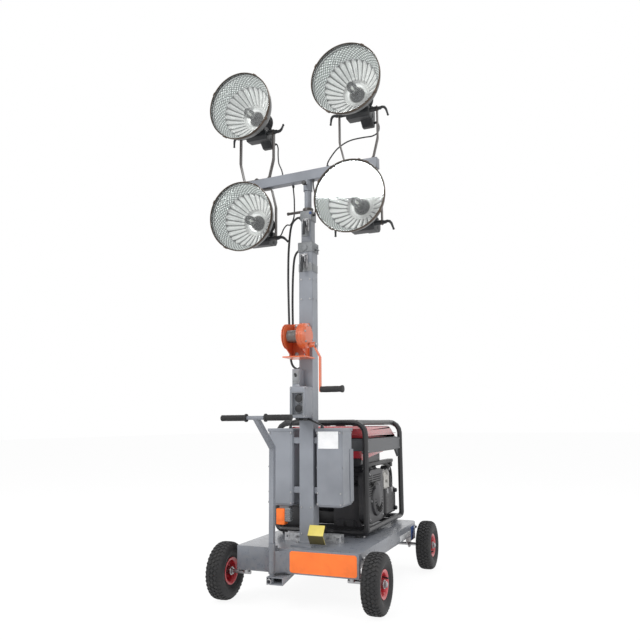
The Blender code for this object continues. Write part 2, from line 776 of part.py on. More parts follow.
# The lamp's own frame has its trunnions on X and its light along -Y.
def make_lamp_body(label, up):
    forward = math.pi / 2
    rise = lamp_axis_rise
    # columns: radius and distance behind the rim of the reflector's middle line, as shares of its size
    bell = [(0.994, 0.0), (0.991, 0.063), (0.939, 0.230), (0.800, 0.471), (0.626, 0.675), (0.429, 0.848),
            (0.348, 0.958), (0.197, 1.0)]
    reflector = turned(f"reflector_{label}", [(radius * lamp_radius, -behind * lamp_depth)
                                              for radius, behind in bell], 24, "reflector_metal")
    solidify(reflector, reflector_sheet, 0.0)
    glass_radius = lamp_radius - 0.0015 - reflector_sheet / 2 - glass_play
    glass = turned(f"lamp_glass_{label}", [(0.0, -0.004), (glass_radius, -0.004),
                                           (glass_radius, -0.004 - glass_thickness),
                                           (0.0, -0.004 - glass_thickness)], 24, "clear_glass")
    back = -lamp_depth - reflector_sheet / 2 - touch
    fin = housing_radius
    groove = housing_radius - 0.007
    # columns: radius and place along the light's axis, from the bulb's tip to the cap
    bulb = [(0.0, back + 0.118), (0.014, back + 0.114), (0.0215, back + 0.098), (0.0235, back + 0.078),
            (0.0185, back + 0.050), (0.0185, back)]
    ribs = [(fin, back), (fin, back - 0.018)]
    for rib in range(2):
        start = back - 0.018 - rib * 0.026
        ribs += [(groove, start), (groove, start - 0.012), (fin, start - 0.012), (fin, start - 0.026)]
    cap = [(fin - 0.006, back - housing_length + 0.006), (fin - 0.014, back - housing_length),
           (0.0, back - housing_length)]
    housing = turned(f"lamp_housing_{label}", bulb + ribs + cap, 16, "black_cast")
    for part in (reflector, glass, housing):
        part.rotation_euler = (forward, 0.0, 0.0)
        part.location = (0.0, -lamp_rim_forward, rise)
    front = -lamp_rim_forward - back
    inner_arm = yoke_half_top - yoke_thickness / 2 - touch
    chin = block(f"{label}_chin", (-0.062, -0.020, -0.030), (0.062, 0.058, 0.016))
    neck = block(f"{label}_neck", (-0.045, front + 0.001, 0.0), (0.045, 0.064, 0.060))
    # columns: Y and Z of the terminal box's side outline below the housing
    drop = tail_drop if up > 0 else tail_drop_low
    tail = stand_along_x(plate(f"{label}_tail", [(0.022, -0.028), (0.062, 0.050), (0.102, 0.028),
                                                 (0.100, -0.006), (0.086, -drop), (0.060, -drop)],
                               tail_left, tail_right))
    trunnion = rod(f"{label}_trunnion", (-inner_arm, 0.0, 0.0), (inner_arm, 0.0, 0.0), trunnion_radius,
                   sides=16)
    fuse(housing, neck, chin, trunnion, tail)
    return reflector, glass, housing, chin, neck, trunnion, tail


def make_winch():
    front = mast_y - outer_size / 2 - touch
    back_plate = block("winch_frame", (drum_left - 0.007, front - winch_plate, 1.120),
                       (drum_right + 0.012, front, 1.296), "winch_orange")
    foot = block("winch_foot", (drum_left - 0.007, winch_axis_y - 0.045, 1.120),
                 (drum_right + 0.040, front - 0.002, 1.126))
    # columns: Y and Z around the axle of each side plate's outline
    side_outline = [(front - 0.001, 1.120)]
    for step in range(9):
        angle = math.radians(-90.0 - step * 22.5)
        side_outline.append((winch_axis_y + 0.062 * math.cos(angle), winch_axis_z + 0.062 * math.sin(angle)))
    side_outline.append((front - 0.001, 1.296))
    left_x = drum_left - 0.003 - winch_plate
    right_x = drum_right + 0.003
    left = stand_along_x(plate("winch_left_side", side_outline, left_x, left_x + winch_plate))
    right = stand_along_x(plate("winch_right_side", side_outline, right_x, right_x + winch_plate))
    case = turned("winch_gear_case", [(0.0, gear_case_depth), (gear_case_radius - 0.012, gear_case_depth),
                                      (gear_case_radius, gear_case_depth - 0.010),
                                      (gear_case_radius, 0.0), (0.0, 0.0)], 24)
    case.rotation_euler = (0.0, math.pi / 2, 0.0)
    case.location = (right_x + winch_plate - overlap, winch_axis_y, winch_axis_z)
    fuse(back_plate, foot, left, right, case)
    case_face = right_x + winch_plate - overlap + gear_case_depth
    shaft_bore = rod("drum_bore", (left_x - 0.01, winch_axis_y, winch_axis_z),
                     (right_x + winch_plate + 0.012, winch_axis_y, winch_axis_z), 0.0085)
    crank_bore = rod("crank_bore", (case_face - 0.020, winch_axis_y, crank_axis_z),
                     (case_face + 0.01, winch_axis_y, crank_axis_z), 0.0075)
    cut(back_plate, shaft_bore, crank_bore)
    flange = drum_flange_radius
    core = drum_core_radius
    reach = right_x + winch_plate + 0.010 - drum_left
    drum = turned("winch_drum", [(0.0, reach), (0.008, reach), (0.008, drum_right - drum_left),
                                 (flange, drum_right - drum_left), (flange, drum_right - drum_left - 0.003),
                                 (core, drum_right - drum_left - 0.003), (core, 0.003), (flange, 0.003),
                                 (flange, 0.0), (0.008, 0.0), (0.008, -0.010), (0.0, -0.010)], 24,
                  "winch_orange")
    drum.rotation_euler = (0.0, math.pi / 2, 0.0)
    drum.location = (drum_left, winch_axis_y, winch_axis_z)
    arm_x = case_face + 0.030
    low_x = arm_x + crank_offset
    end = crank_axis_z - crank_reach
    half = 0.0028
    crank = rod("winch_crank", (case_face - 0.018, winch_axis_y, crank_axis_z),
                (arm_x + 0.004, winch_axis_y, crank_axis_z), 0.007, "steel", sides=16)
    bend = crank_axis_z - 0.060
    arm = plate("crank_arm", [(arm_x - half, crank_axis_z + 0.013), (arm_x - half, crank_axis_z - 0.012),
                              (low_x - half, bend), (low_x - half, end - 0.011), (low_x + half, end - 0.011),
                              (low_x + half, bend), (arm_x + half, crank_axis_z - 0.012),
                              (arm_x + half, crank_axis_z + 0.013)], -0.010, 0.010)
    stand_along_y(arm, winch_axis_y)
    nut = rod("crank_nut", (case_face + 0.004, winch_axis_y, crank_axis_z),
              (arm_x - 0.001, winch_axis_y, crank_axis_z), 0.0125, sides=16)
    grip = rod("crank_grip", (low_x + 0.001, winch_axis_y, end),
               (low_x + crank_grip_length, winch_axis_y, end), 0.0125, sides=16)
    stop = rod("crank_grip_end", (low_x + crank_grip_length - 0.006, winch_axis_y, end),
               (low_x + crank_grip_length + 0.002, winch_axis_y, end), 0.0160, sides=16)
    fuse(crank, arm, nut, grip, stop)
    set_pivot(crank, (arm_x, winch_axis_y, crank_axis_z))


def make_boxes():
    half = outer_size / 2
    front = mast_y - half
    # columns: name, side of the mast, gap to the mast
    for label, side, gap in (("left", -1, left_box_gap), ("right", 1, right_box_gap)):
        near = side * (half + gap)
        far = near + side * box_width
        low_x, high_x = min(near, far), max(near, far)
        box = block(f"ballast_box_{label}", (low_x, front, box_bottom), (high_x, front + box_depth, box_top),
                    "mast_grey")
        bevel(box, box_corner, 2)
        flange = block(f"box_flange_{label}", (low_x - 0.003, front + box_depth - 0.045, box_bottom + 0.018),
                       (high_x + 0.003, front + box_depth + 0.003, box_top - 0.100))
        fuse(box, flange)
        for row, low in enumerate(tab_rows):
            edge = side * (half + touch)
            tab = block(f"box_tab_{label}_{row}", (min(edge, near + side * overlap), front + 0.014, low),
                        (max(edge, near + side * overlap), front + 0.014 + tab_depth, low + tab_height))
            fuse(box, tab)
    wall = front - touch
    left = half + 0.0007 - socket_box_width
    sockets = block("socket_box", (left, wall - socket_box_depth, socket_box_bottom),
                    (half + 0.0007, wall, socket_box_top), "mast_grey")
    bevel(sockets, 0.003)
    switch = block("switch_box", (left - 0.004, wall - 0.055, socket_box_top - 0.002),
                   (left + 0.034, wall, socket_box_top + 0.086))
    recess = block("socket_recess", (left + 0.012, wall - socket_box_depth - 0.01, socket_box_bottom + 0.014),
                   (half - 0.010, wall - socket_box_depth + 0.022, socket_box_top - 0.030))
    fuse(sockets, switch)
    cut(sockets, recess)


# A slotted galvanised channel on the deck behind the mast, and the foot pedal in front.
def make_deck_fittings():
    low = deck_top + touch
    rear = mast_y + outer_size / 2 + 0.001
    rail = block("strut_rail", (-rail_half, rear, low), (rail_half, rear + rail_size, low + rail_size),
                 "galvanised")
    groove = block("rail_groove", (-rail_half - 0.01, rear + rail_sheet, low + rail_sheet),
                   (rail_half + 0.01, rear + rail_size - rail_sheet, low + rail_size + 0.01))
    cut(rail, groove)
    for slot in range(6):
        x = -rail_half + 0.018 + slot * (2 * rail_half - 0.036) / 5
        cut(rail, block(f"rail_slot_{slot}", (x - 0.009, rear - 0.01, low + 0.014),
                        (x + 0.009, rear + rail_size + 0.01, low + 0.025)))
    base = deck_top + 2 * touch + base_plate_thickness
    front = mast_y - outer_size / 2
    # columns: Y and Z of the bent pedal plate's outline
    bent = [(front - 0.0190, base), (front - 0.0485, base + 0.0430), (front - 0.0225, base + 0.0835),
            (front - 0.0260, base + 0.0860), (front - 0.0540, base + 0.0430), (front - 0.0250, base)]
    stand_along_x(plate("foot_pedal", bent, pedal_left, pedal_right, "pedal_yellow"))


# The generator set: two tube hoops joined by four rails, and the machine inside them.
def make_generator():
    left = set_right - set_width
    low = deck_top + set_foot
    high = low + set_height
    tube_r = set_tube_radius
    rear = set_front + set_length
    inset = set_rail_inset
    x0, x1 = left + tube_r, set_right - tube_r
    z0, z1 = low + tube_r, high - tube_r
    y0, y1 = set_front + tube_r, rear - tube_r
    hoops = []
    for label, y in (("front", y0), ("rear", y1)):
        path = rounded_path([(x0, y, z0), (x0, y, z1), (x1, y, z1), (x1, y, z0)],
                            [set_foot_corner, set_corner, set_corner, set_foot_corner], 4, closed=True)
        hoops.append(tube("generator_frame" if label == "front" else "rear_hoop", path, tube_r,
                          "frame_black" if label == "front" else None, closed=True))
    frame = hoops[0]
    rail_x = (x0 + inset, x1 - inset)
    # the lower rails meet the middle of the hoops' tight corners
    tuck = set_foot_corner * (1 - math.sqrt(0.5))
    low_x = (x0 + tuck, x1 - tuck)
    for row, places, z in (("low", low_x, z0 + tuck), ("high", rail_x, z1)):
        for number, x in enumerate(places):
            fuse(frame, rod(f"set_rail_{row}_{number}", (x, y0 - 0.005, z), (x, y1 + 0.005, z), tube_r * 0.9,
                            sides=12))
    fuse(frame, hoops[1])
    cross_z = z0 - 0.001
    for number, y in enumerate((y0 + 0.10, y0 + 0.42)):
        fuse(frame, block(f"set_cross_{number}", (low_x[0], y, cross_z), (low_x[1], y + 0.04, cross_z + 0.014)))
    for row_x in rail_x:
        for row_y in (y0, y1):
            fuse(frame, rod(f"set_foot_{row_x:.2f}_{row_y:.2f}", (row_x, row_y, deck_top + touch),
                            (row_x, row_y, z0), 0.012, sides=12))
    mount = cross_z + 0.014 + touch
    tank_top = high - 0.034
    tank_low = tank_top - tank_height
    # columns: Y and Z of the tank's side outline
    side = [(set_front + 0.062, tank_low), (rear - 0.044, tank_low), (rear - 0.060, tank_low + 0.016),
            (rear - 0.150, tank_top - 0.006), (rear - 0.175, tank_top), (set_front + 0.090, tank_top),
            (set_front + 0.068, tank_top - 0.014)]
    tank = plate("fuel_tank", side, left + 0.055, set_right - tank_side_inset, "tank_red")
    stand_along_x(tank)
    bevel(tank, 0.016, 2, 60.0)
    post = 2 * tube_r + touch
    panel = block("control_panel", (set_right - 0.036, set_front + post, tank_low - panel_height),
                  (set_right - 0.012, rear - post, tank_low - 0.002), "panel_dark")
    bevel(panel, 0.003)
    shelf = block("tank_shelf", (left + 0.040, set_front + 0.033, tank_low - 0.014),
                  (set_right - 0.030, rear - 0.034, tank_low - touch))
    apron = block("tank_apron", (left + 0.050, set_front + 0.034, tank_low - panel_height + 0.010),
                  (set_right - 0.030, set_front + 0.046, tank_low - 0.008))
    # columns: Y and Z of the bracket that carries the panel on the rear post
    gusset = stand_along_x(plate("panel_gusset", [(rear - post, tank_low - panel_height + 0.004),
                                                  (rear - post, tank_low - panel_height - 0.044),
                                                  (rear - post - 0.012, tank_low - panel_height - 0.044),
                                                  (rear - post - 0.070, tank_low - panel_height + 0.004)],
                                 set_right - 0.030, set_right - 0.018))
    fuse(panel, shelf, apron, gusset)
    for number, y in enumerate((set_front + 0.100, rear - 0.130)):
        fuse(panel, block(f"shelf_ear_{number}", (left + 2 * tube_r - 0.010, y - 0.030, tank_low - 0.012),
                          (left + 0.045, y, tank_low - 0.005)))
    make_engine(left, mount)


def make_engine(left, mount):
    face = set_right - cover_inset
    cover_y = set_front + cover_front
    cover_z = mount + cover_rise
    axle_y = cover_y + cover_width * 0.50
    axle_z = cover_z + cover_height * 0.42
    back = face - cover_depth
    engine = block("engine", (back - crankcase_width, cover_y + 0.020, mount),
                   (back + 0.004, cover_y + 0.020 + crankcase_length, mount + crankcase_height), "engine_dark")
    corners = [(cover_y, cover_z, 0.0), (cover_y + cover_width, cover_z, 0.0),
               (cover_y + cover_width, cover_z + cover_height, 0.0), (cover_y, cover_z + cover_height, 0.0)]
    outline = rounded_path(corners, cover_corner, 4, closed=True)
    cover = stand_along_x(plate("fan_cover", outline, back, face))
    bevel(cover, 0.010, 2, 60.0)
    starter = turned("recoil_starter", [(0.0, 0.018), (0.030, 0.018), (recoil_radius - 0.008, 0.010),
                                        (recoil_radius, -0.002), (0.0, -0.002)], 20)
    starter.rotation_euler = (0.0, math.pi / 2, 0.0)
    starter.location = (face - 0.001, axle_y, axle_z)
    alternator = rod("alternator", (left + 0.055, axle_y, mount + 0.135),
                     (back - crankcase_width + 0.01, axle_y, mount + 0.135), alternator_radius)
    barrel = block("cylinder", (back - 0.115, cover_y + 0.070, mount + crankcase_height - 0.01),
                   (back + 0.002, cover_y + 0.220, mount + barrel_top))
    fuse(engine, cover, starter, alternator, barrel)
    for fin in range(4):
        z = mount + crankcase_height + 0.014 + fin * 0.022
        fuse(engine, block(f"cylinder_fin_{fin}", (back - 0.130, cover_y + 0.055, z),
                           (back + 0.003, cover_y + 0.235, z + 0.006)))
    for number, reach in enumerate((0.10, 0.42)):
        cradle_y = set_front + set_tube_radius + reach
        fuse(engine, block(f"engine_mount_{number}", (back - 0.120, cradle_y + 0.004, mount),
                           (back - 0.030, cradle_y + 0.036, mount + 0.030)))
    fuse(engine, block("engine_sump", (back - 0.135, cover_y + 0.012, mount),
                       (back - 0.022, cradle_y + 0.036, mount + 0.025)))
    filter_y = cover_y + cover_width + 0.040
    filter_low = mount + 0.018
    filter_top = filter_low + filter_height
    filter_box = block("air_filter", (face - filter_depth, filter_y, filter_low),
                       (face, filter_y + filter_length, filter_top), "black_cast")
    bevel(filter_box, 0.012, 2)
    carburettor = block("carburettor", (face - 0.058, filter_y + 0.004, filter_top - 0.006),
                        (face - 0.010, filter_y + 0.118, filter_top + 0.085))
    bevel(carburettor, 0.012)
    intake = [(face - 0.034, filter_y + 0.070, filter_top + 0.110),
              (face - 0.034, filter_y + filter_length - 0.052, filter_top + 0.110),
              (face - 0.034, filter_y + filter_length - 0.024, filter_top + 0.082),
              (face - 0.034, filter_y + filter_length - 0.024, filter_top - 0.010)]
    elbow = tube("intake_elbow", intake, intake_radius, resolution=1)
    riser = rod("intake_riser", (face - 0.034, filter_y + 0.080, filter_top + 0.070),
                (face - 0.034, filter_y + 0.080, filter_top + 0.112), 0.016, sides=12)
    leg = block("filter_leg", (face - 0.060, filter_y + 0.020, mount), (face - 0.030, filter_y + 0.120, filter_low + 0.004))
    fuse(filter_box, carburettor, elbow, riser, leg)


# Cables, as a few points each along the route that the photograph shows.
# columns: name, diameter, points
cables = [
    ("mast_cable_long", 0.011, [(-0.0318, -0.352, 1.850), (-0.060, -0.354, 1.850), (-0.088, -0.358, 1.810),
                                (-0.100, -0.362, 1.690), (-0.103, -0.362, 1.560), (-0.101, -0.362, 1.430),
                                (-0.098, -0.360, 1.290), (-0.096, -0.358, 1.180), (-0.086, -0.356, 1.105),
                                (-0.062, -0.354, 1.078), (-0.0366, -0.354, 1.078)]),
    ("mast_cable_short", 0.011, [(-0.0408, -0.330, 1.684), (-0.060, -0.331, 1.684), (-0.080, -0.334, 1.650),
                                 (-0.088, -0.336, 1.560), (-0.090, -0.338, 1.430), (-0.088, -0.338, 1.290),
                                 (-0.084, -0.338, 1.190), (-0.070, -0.336, 1.142), (-0.054, -0.336, 1.128),
                                 (-0.0366, -0.336, 1.128)]),
    ("box_cable", 0.009, [(-0.094, -0.352, 0.7863), (-0.094, -0.352, 0.800), (-0.078, -0.372, 0.818),
                          (-0.045, -0.3842, 0.827), (-0.012, -0.3842, 0.8300), (0.022, -0.3842, 0.8280),
                          (0.048, -0.3840, 0.817), (0.066, -0.368, 0.806), (0.073, -0.354, 0.7985),
                          (0.073, -0.354, 0.7863)]),
    ("head_cable", 0.007, [(0.034, -0.352, 2.0456), (0.034, -0.353, 2.015), (0.042, -0.355, 1.970),
                           (0.046, -0.356, 1.925), (0.045, -0.355, 1.882), (0.040, -0.353, 1.858),
                           (0.0318, -0.352, 1.858)]),
]


def make_cables():
    for name, diameter, points in cables:
        tube(name, smooth_path(points, diameter * 2.5), diameter / 2, "cable_black")


make_deck()
make_knuckles()
make_tie_rod()
make_rear_axle()
make_tow_column()
make_wheels()
make_mast()
make_head()
make_winch()
make_boxes()
make_deck_fittings()
make_generator()
make_cables()
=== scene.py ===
# Dresses the light tower's frame: paint, rubber, glass, the small fittings and the studio around it.
# The tow handle is at -Y, the generator at +Y and the ground at Z 0, in metres.
import json
import math
import random

import bmesh
import bpy
from mathutils import Matrix, Quaternion, Vector

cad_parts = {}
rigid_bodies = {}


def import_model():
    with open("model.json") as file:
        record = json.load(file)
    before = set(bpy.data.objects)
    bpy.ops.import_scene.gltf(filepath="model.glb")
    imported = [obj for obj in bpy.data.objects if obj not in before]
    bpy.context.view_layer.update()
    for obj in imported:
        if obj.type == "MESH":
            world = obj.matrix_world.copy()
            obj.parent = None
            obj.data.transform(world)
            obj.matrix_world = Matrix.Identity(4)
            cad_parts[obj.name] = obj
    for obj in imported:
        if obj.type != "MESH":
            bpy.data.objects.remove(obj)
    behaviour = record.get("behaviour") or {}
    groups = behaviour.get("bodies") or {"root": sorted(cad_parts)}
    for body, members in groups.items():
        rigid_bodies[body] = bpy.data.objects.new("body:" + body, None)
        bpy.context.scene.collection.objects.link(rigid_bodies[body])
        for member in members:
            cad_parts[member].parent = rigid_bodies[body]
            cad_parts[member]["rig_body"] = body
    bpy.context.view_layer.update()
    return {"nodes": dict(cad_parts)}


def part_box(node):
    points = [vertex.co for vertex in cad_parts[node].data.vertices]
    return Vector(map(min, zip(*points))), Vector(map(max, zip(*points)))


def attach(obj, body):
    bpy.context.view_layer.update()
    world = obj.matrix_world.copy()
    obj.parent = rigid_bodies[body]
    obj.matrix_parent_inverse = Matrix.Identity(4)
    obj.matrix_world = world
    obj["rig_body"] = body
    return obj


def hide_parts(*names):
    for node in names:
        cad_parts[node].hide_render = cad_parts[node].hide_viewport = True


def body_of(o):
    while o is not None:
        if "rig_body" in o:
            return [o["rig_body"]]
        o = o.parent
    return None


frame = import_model()
nodes = frame["nodes"]
random.seed(11)


class Wire:  # one socket of a material, so that masks can be written as sums
    def __init__(self, finish, socket):
        self.finish, self.socket = finish, socket

    def maths(self, operation, first, second):
        return self.finish.add("ShaderNodeMath", {"operation": operation}, first, second)

    def __add__(self, other):
        return self.maths("ADD", self, other)

    def __sub__(self, other):
        return self.maths("SUBTRACT", self, other)

    def __rsub__(self, other):
        return self.maths("SUBTRACT", other, self)

    def __mul__(self, other):
        return self.maths("MULTIPLY", self, other)

    def __mod__(self, other):
        return self.maths("FLOORED_MODULO", self, other)

    __radd__ = __add__
    __rmul__ = __mul__


class Finish:  # a material and the nodes that make it
    def __init__(self, name, colour=(0.5, 0.5, 0.5), rough=0.5, metal=0.0, **settings):
        self.material = bpy.data.materials.new(name)
        self.material.use_nodes = True
        self.tree = self.material.node_tree
        self.shader = self.tree.nodes["Principled BSDF"]
        self.put(Base_Color=(*colour, 1.0), Roughness=rough, Metallic=metal, **settings)

    def put(self, **sockets):
        for key, value in sockets.items():
            socket = self.shader.inputs[key.replace("_", " ")]
            if isinstance(value, Wire):
                self.tree.links.new(value.socket, socket)
            else:
                socket.default_value = value

    def add(self, kind, settings, *values, out=0, **named):
        node = self.tree.nodes.new(kind)
        for key, value in settings.items():
            setattr(node, key, value)
        for place, value in list(enumerate(values)) + list(named.items()):
            socket = node.inputs[place if isinstance(place, int) else place.replace("_", " ")]
            if isinstance(value, Wire):
                self.tree.links.new(value.socket, socket)
            else:
                socket.default_value = value
        return Wire(self, node.outputs[out])

    def place(self, stretch=(1, 1, 1)):
        at = self.add("ShaderNodeTexCoord", {}, out="Object")
        return self.add("ShaderNodeMapping", {}, Vector=at, Scale=stretch)

    def axis(self, name, source="Object"):
        at = self.add("ShaderNodeTexCoord", {}, out=source)
        return self.add("ShaderNodeSeparateXYZ", {}, at, out=name)

    def noise(self, scale, detail=3.0, at=None, rough=0.5):
        at = at or self.place()
        return self.add("ShaderNodeTexNoise", {}, Vector=at, Scale=scale, Detail=detail, Roughness=rough)

    def cells(self, scale):
        return self.add("ShaderNodeTexVoronoi", {}, Vector=self.place(), Scale=scale, out="Color")

    def remap(self, value, low, high):  # 0 at the low value, 1 at the high one, smooth between them
        return self.add("ShaderNodeMapRange", {"interpolation_type": "SMOOTHSTEP"}, value, low, high)

    def mix(self, factor, first, second):
        node = self.tree.nodes.new("ShaderNodeMix")
        node.data_type = "RGBA"
        for place, value in ((0, factor), (6, first), (7, second)):
            if isinstance(value, Wire):
                self.tree.links.new(value.socket, node.inputs[place])
            else:
                node.inputs[place].default_value = value if place == 0 else (*value, 1.0)
        return Wire(self, node.outputs[2])

    def size(self, value):  # a value without its sign
        return self.add("ShaderNodeMath", {"operation": "ABSOLUTE"}, value)

    def bump(self, height, strength, distance):
        self.put(Normal=self.add("ShaderNodeBump", {}, Strength=strength, Distance=distance, Height=height))

    def show(self, shader):  # puts another shader in place of the plain one
        self.tree.links.new(shader.socket, self.tree.nodes["Material Output"].inputs["Surface"])


def deselect():
    if bpy.context.object and bpy.context.object.mode != "OBJECT":
        bpy.ops.object.mode_set(mode="OBJECT")
    bpy.ops.object.select_all(action="DESELECT")


view = {"place": (1.2436, -3.2468, 0.8101), "yaw": 22.148, "pitch": 9.164, "roll": -0.403, "focal": 641.2}


def setCamera():
    yaw, pitch = math.radians(view["yaw"]), math.radians(view["pitch"])
    ahead = Vector((-math.sin(yaw) * math.cos(pitch), math.cos(yaw) * math.cos(pitch), math.sin(pitch)))
    lens = bpy.data.cameras.new("camera")
    lens.sensor_width = 36.0
    lens.lens = view["focal"] * 36.0 / 640.0
    camera = bpy.data.objects.new("camera", lens)
    camera.rotation_mode = "QUATERNION"
    turn = Quaternion((0.0, 0.0, 1.0), math.radians(view["roll"]))
    camera.rotation_quaternion = ahead.to_track_quat("-Z", "Y") @ turn
    camera.location = view["place"]
    bpy.context.scene.collection.objects.link(camera)
    bpy.context.scene.camera = camera


# columns: name, place, aimed at, width, height, power
studioLamps = [
    ("keyLamp", (-3.2, -3.6, 4.4), (0.0, 0.0, 1.0), 2.6, 2.6, 150.0),
    ("fillLamp", (4.2, -2.2, 2.6), (0.0, 0.0, 1.0), 2.4, 3.0, 60.0),
    ("topLamp", (0.4, 1.4, 5.2), (0.0, 0.0, 1.2), 3.0, 3.0, 90.0),
    ("windowLamp", (-1.370, -5.0, 3.780), (0.296, -0.555, 1.859), 1.30, 0.68, 50.0),
]


def setLamps():
    for name, place, aim, width, height, power in studioLamps:
        lamp = bpy.data.lights.new(name, "AREA")
        lamp.shape = "RECTANGLE"
        lamp.size, lamp.size_y = width, height
        lamp.energy = power
        holder = bpy.data.objects.new(name, lamp)
        holder.location = place
        holder.visible_glossy = name != "keyLamp"
        holder.rotation_euler = (Vector(aim) - Vector(place)).to_track_quat("-Z", "Y").to_euler()
        bpy.context.scene.collection.objects.link(holder)


# White where the camera, a gloss or a glass looks at it, plain light for everything else.
def seenWhite(finish):
    path = finish.tree.nodes.new("ShaderNodeLightPath")
    rays = [Wire(finish, path.outputs[f"Is {kind} Ray"]) for kind in ("Camera", "Glossy", "Transmission")]
    return finish.add("ShaderNodeMath", {"operation": "MINIMUM"}, rays[0] + rays[1] + rays[2], 1.0)


def setFloor():
    deselect()
    bpy.ops.mesh.primitive_plane_add(size=60.0, location=(0.0, 20.0, 0.0))
    floor = bpy.context.object
    floor.name = "studioFloor"
    finish = Finish("floorWhite", (0.94, 0.94, 0.94), 0.9)
    glow = finish.add("ShaderNodeEmission", {}, (1.0, 1.0, 1.0, 1.0), 1.035)
    plain = Wire(finish, finish.shader.outputs[0])
    pale = finish.add("ShaderNodeMixShader", {}, 0.88, plain, glow)
    shown = finish.add("ShaderNodeMixShader", {}, seenWhite(finish), plain, pale)
    finish.show(shown)
    floor.data.materials.append(finish.material)


def setWorld():
    world = bpy.data.worlds.new("studioWorld")
    world.use_nodes = True
    bpy.context.scene.world = world
    sky = Finish.__new__(Finish)
    sky.tree = world.node_tree
    background = world.node_tree.nodes["Background"]
    level = seenWhite(sky)
    sky.tree.links.new((level * 0.42 + 0.58).socket, background.inputs["Strength"])
    background.inputs["Color"].default_value = (1.0, 1.0, 1.0, 1.0)


scene = bpy.context.scene
scene.view_settings.view_transform = "Standard"
setCamera()
setLamps()
setFloor()
setWorld()
print("studio ready")

finishes = {}


def keep(name, finish):
    finishes[name] = finish.material


# Sprayed steel: a slight orange peel, dust that gathers low down, rubbed and scratched places.
def sprayed(name, colour, rough=0.34, dust=0.35, scuff=0.5, peel=0.16, coat=0.15, dustTop=0.55):
    finish = Finish(name, colour, rough, 0.0, Coat_Weight=coat, Coat_Roughness=0.18)
    tone = finish.noise(3.2, 4.0)
    fine = finish.noise(38.0, 4.0, rough=0.62)
    dark = tuple(channel * 0.82 for channel in colour)
    light = tuple(min(1.0, channel * 1.10 + 0.006) for channel in colour)
    base = finish.mix(finish.remap(tone, 0.35, 0.68), dark, light)
    scratch = finish.noise(26.0, 5.0, finish.place(stretch=(9.0, 9.0, 0.7)), 0.7)
    worn = finish.remap(scratch, 0.655, 0.70) * scuff
    base = finish.mix(worn, base, tuple(channel * 0.55 + 0.10 for channel in colour))
    height = finish.axis("Z")
    settled = finish.remap(height, dustTop, 0.05) * finish.remap(fine, 0.38, 0.66) * dust
    base = finish.mix(settled, base, (0.30, 0.27, 0.235))
    finish.put(Base_Color=base, Roughness=rough + finish.remap(fine, 0.3, 0.7) * 0.10 + settled * 0.4)
    grain = finish.noise(620.0, 2.0)
    finish.bump(grain + tone * 2.0, peel, 0.0006)
    keep(name, finish)


# Hot-dip zinc: interlocking spangles of slightly different greys, dull where it has aged.
def galvanised(name, rough=0.36, scale=120.0, tint=(0.56, 0.57, 0.585)):
    finish = Finish(name, tint, rough, 0.70)
    grey = finish.add("ShaderNodeSeparateColor", {}, finish.cells(scale))
    cloud = finish.noise(14.0, 4.0)
    low = tuple(channel * 0.70 for channel in tint)
    high = tuple(min(1.0, channel * 1.18) for channel in tint)
    base = finish.mix(grey * 0.75 + cloud * 0.25, low, high)
    stain = finish.remap(finish.noise(9.0, 5.0, rough=0.7), 0.60, 0.72) * 0.25
    base = finish.mix(stain, base, (0.33, 0.31, 0.28))
    finish.put(Base_Color=base, Roughness=rough + grey * 0.16 + stain * 0.3)
    finish.bump(grey + cloud, 0.10, 0.0005)
    keep(name, finish)


# Turned, rolled or cast metal with fine marks and spots of rust.
def machined(name, tint=(0.46, 0.46, 0.47), rough=0.30, rust=0.25):
    finish = Finish(name, tint, rough, 1.0)
    marks = finish.noise(240.0)
    cloud = finish.noise(21.0, 5.0, rough=0.65)
    base = finish.mix(cloud, tuple(channel * 0.72 for channel in tint), tint)
    spots = finish.remap(cloud, 0.60, 0.74) * rust
    base = finish.mix(spots, base, (0.17, 0.085, 0.045))
    finish.put(Base_Color=base, Metallic=1.0 - spots * 0.8, Roughness=rough + marks * 0.18 + spots * 0.5)
    finish.bump(marks, 0.08, 0.0004)
    keep(name, finish)


# Moulded rubber or plastic with a fine grain and a little dust.
def moulded(name, colour, rough=0.6, grain=900.0, depth=0.25, dust=0.2, dustColour=(0.16, 0.145, 0.125)):
    finish = Finish(name, colour, rough)
    cloud = finish.noise(17.0, 5.0, rough=0.62)
    fine = finish.noise(grain, 2.0)
    dark, light = (tuple(channel * share for channel in colour) for share in (0.75, 1.35))
    base = finish.mix(cloud, dark, light)
    settled = finish.remap(cloud, 0.46, 0.72) * dust
    base = finish.mix(settled, base, dustColour)
    finish.put(Base_Color=base, Roughness=rough + cloud * 0.12 - 0.05 + settled * 0.25)
    finish.bump(fine, depth, 0.0005)
    keep(name, finish)


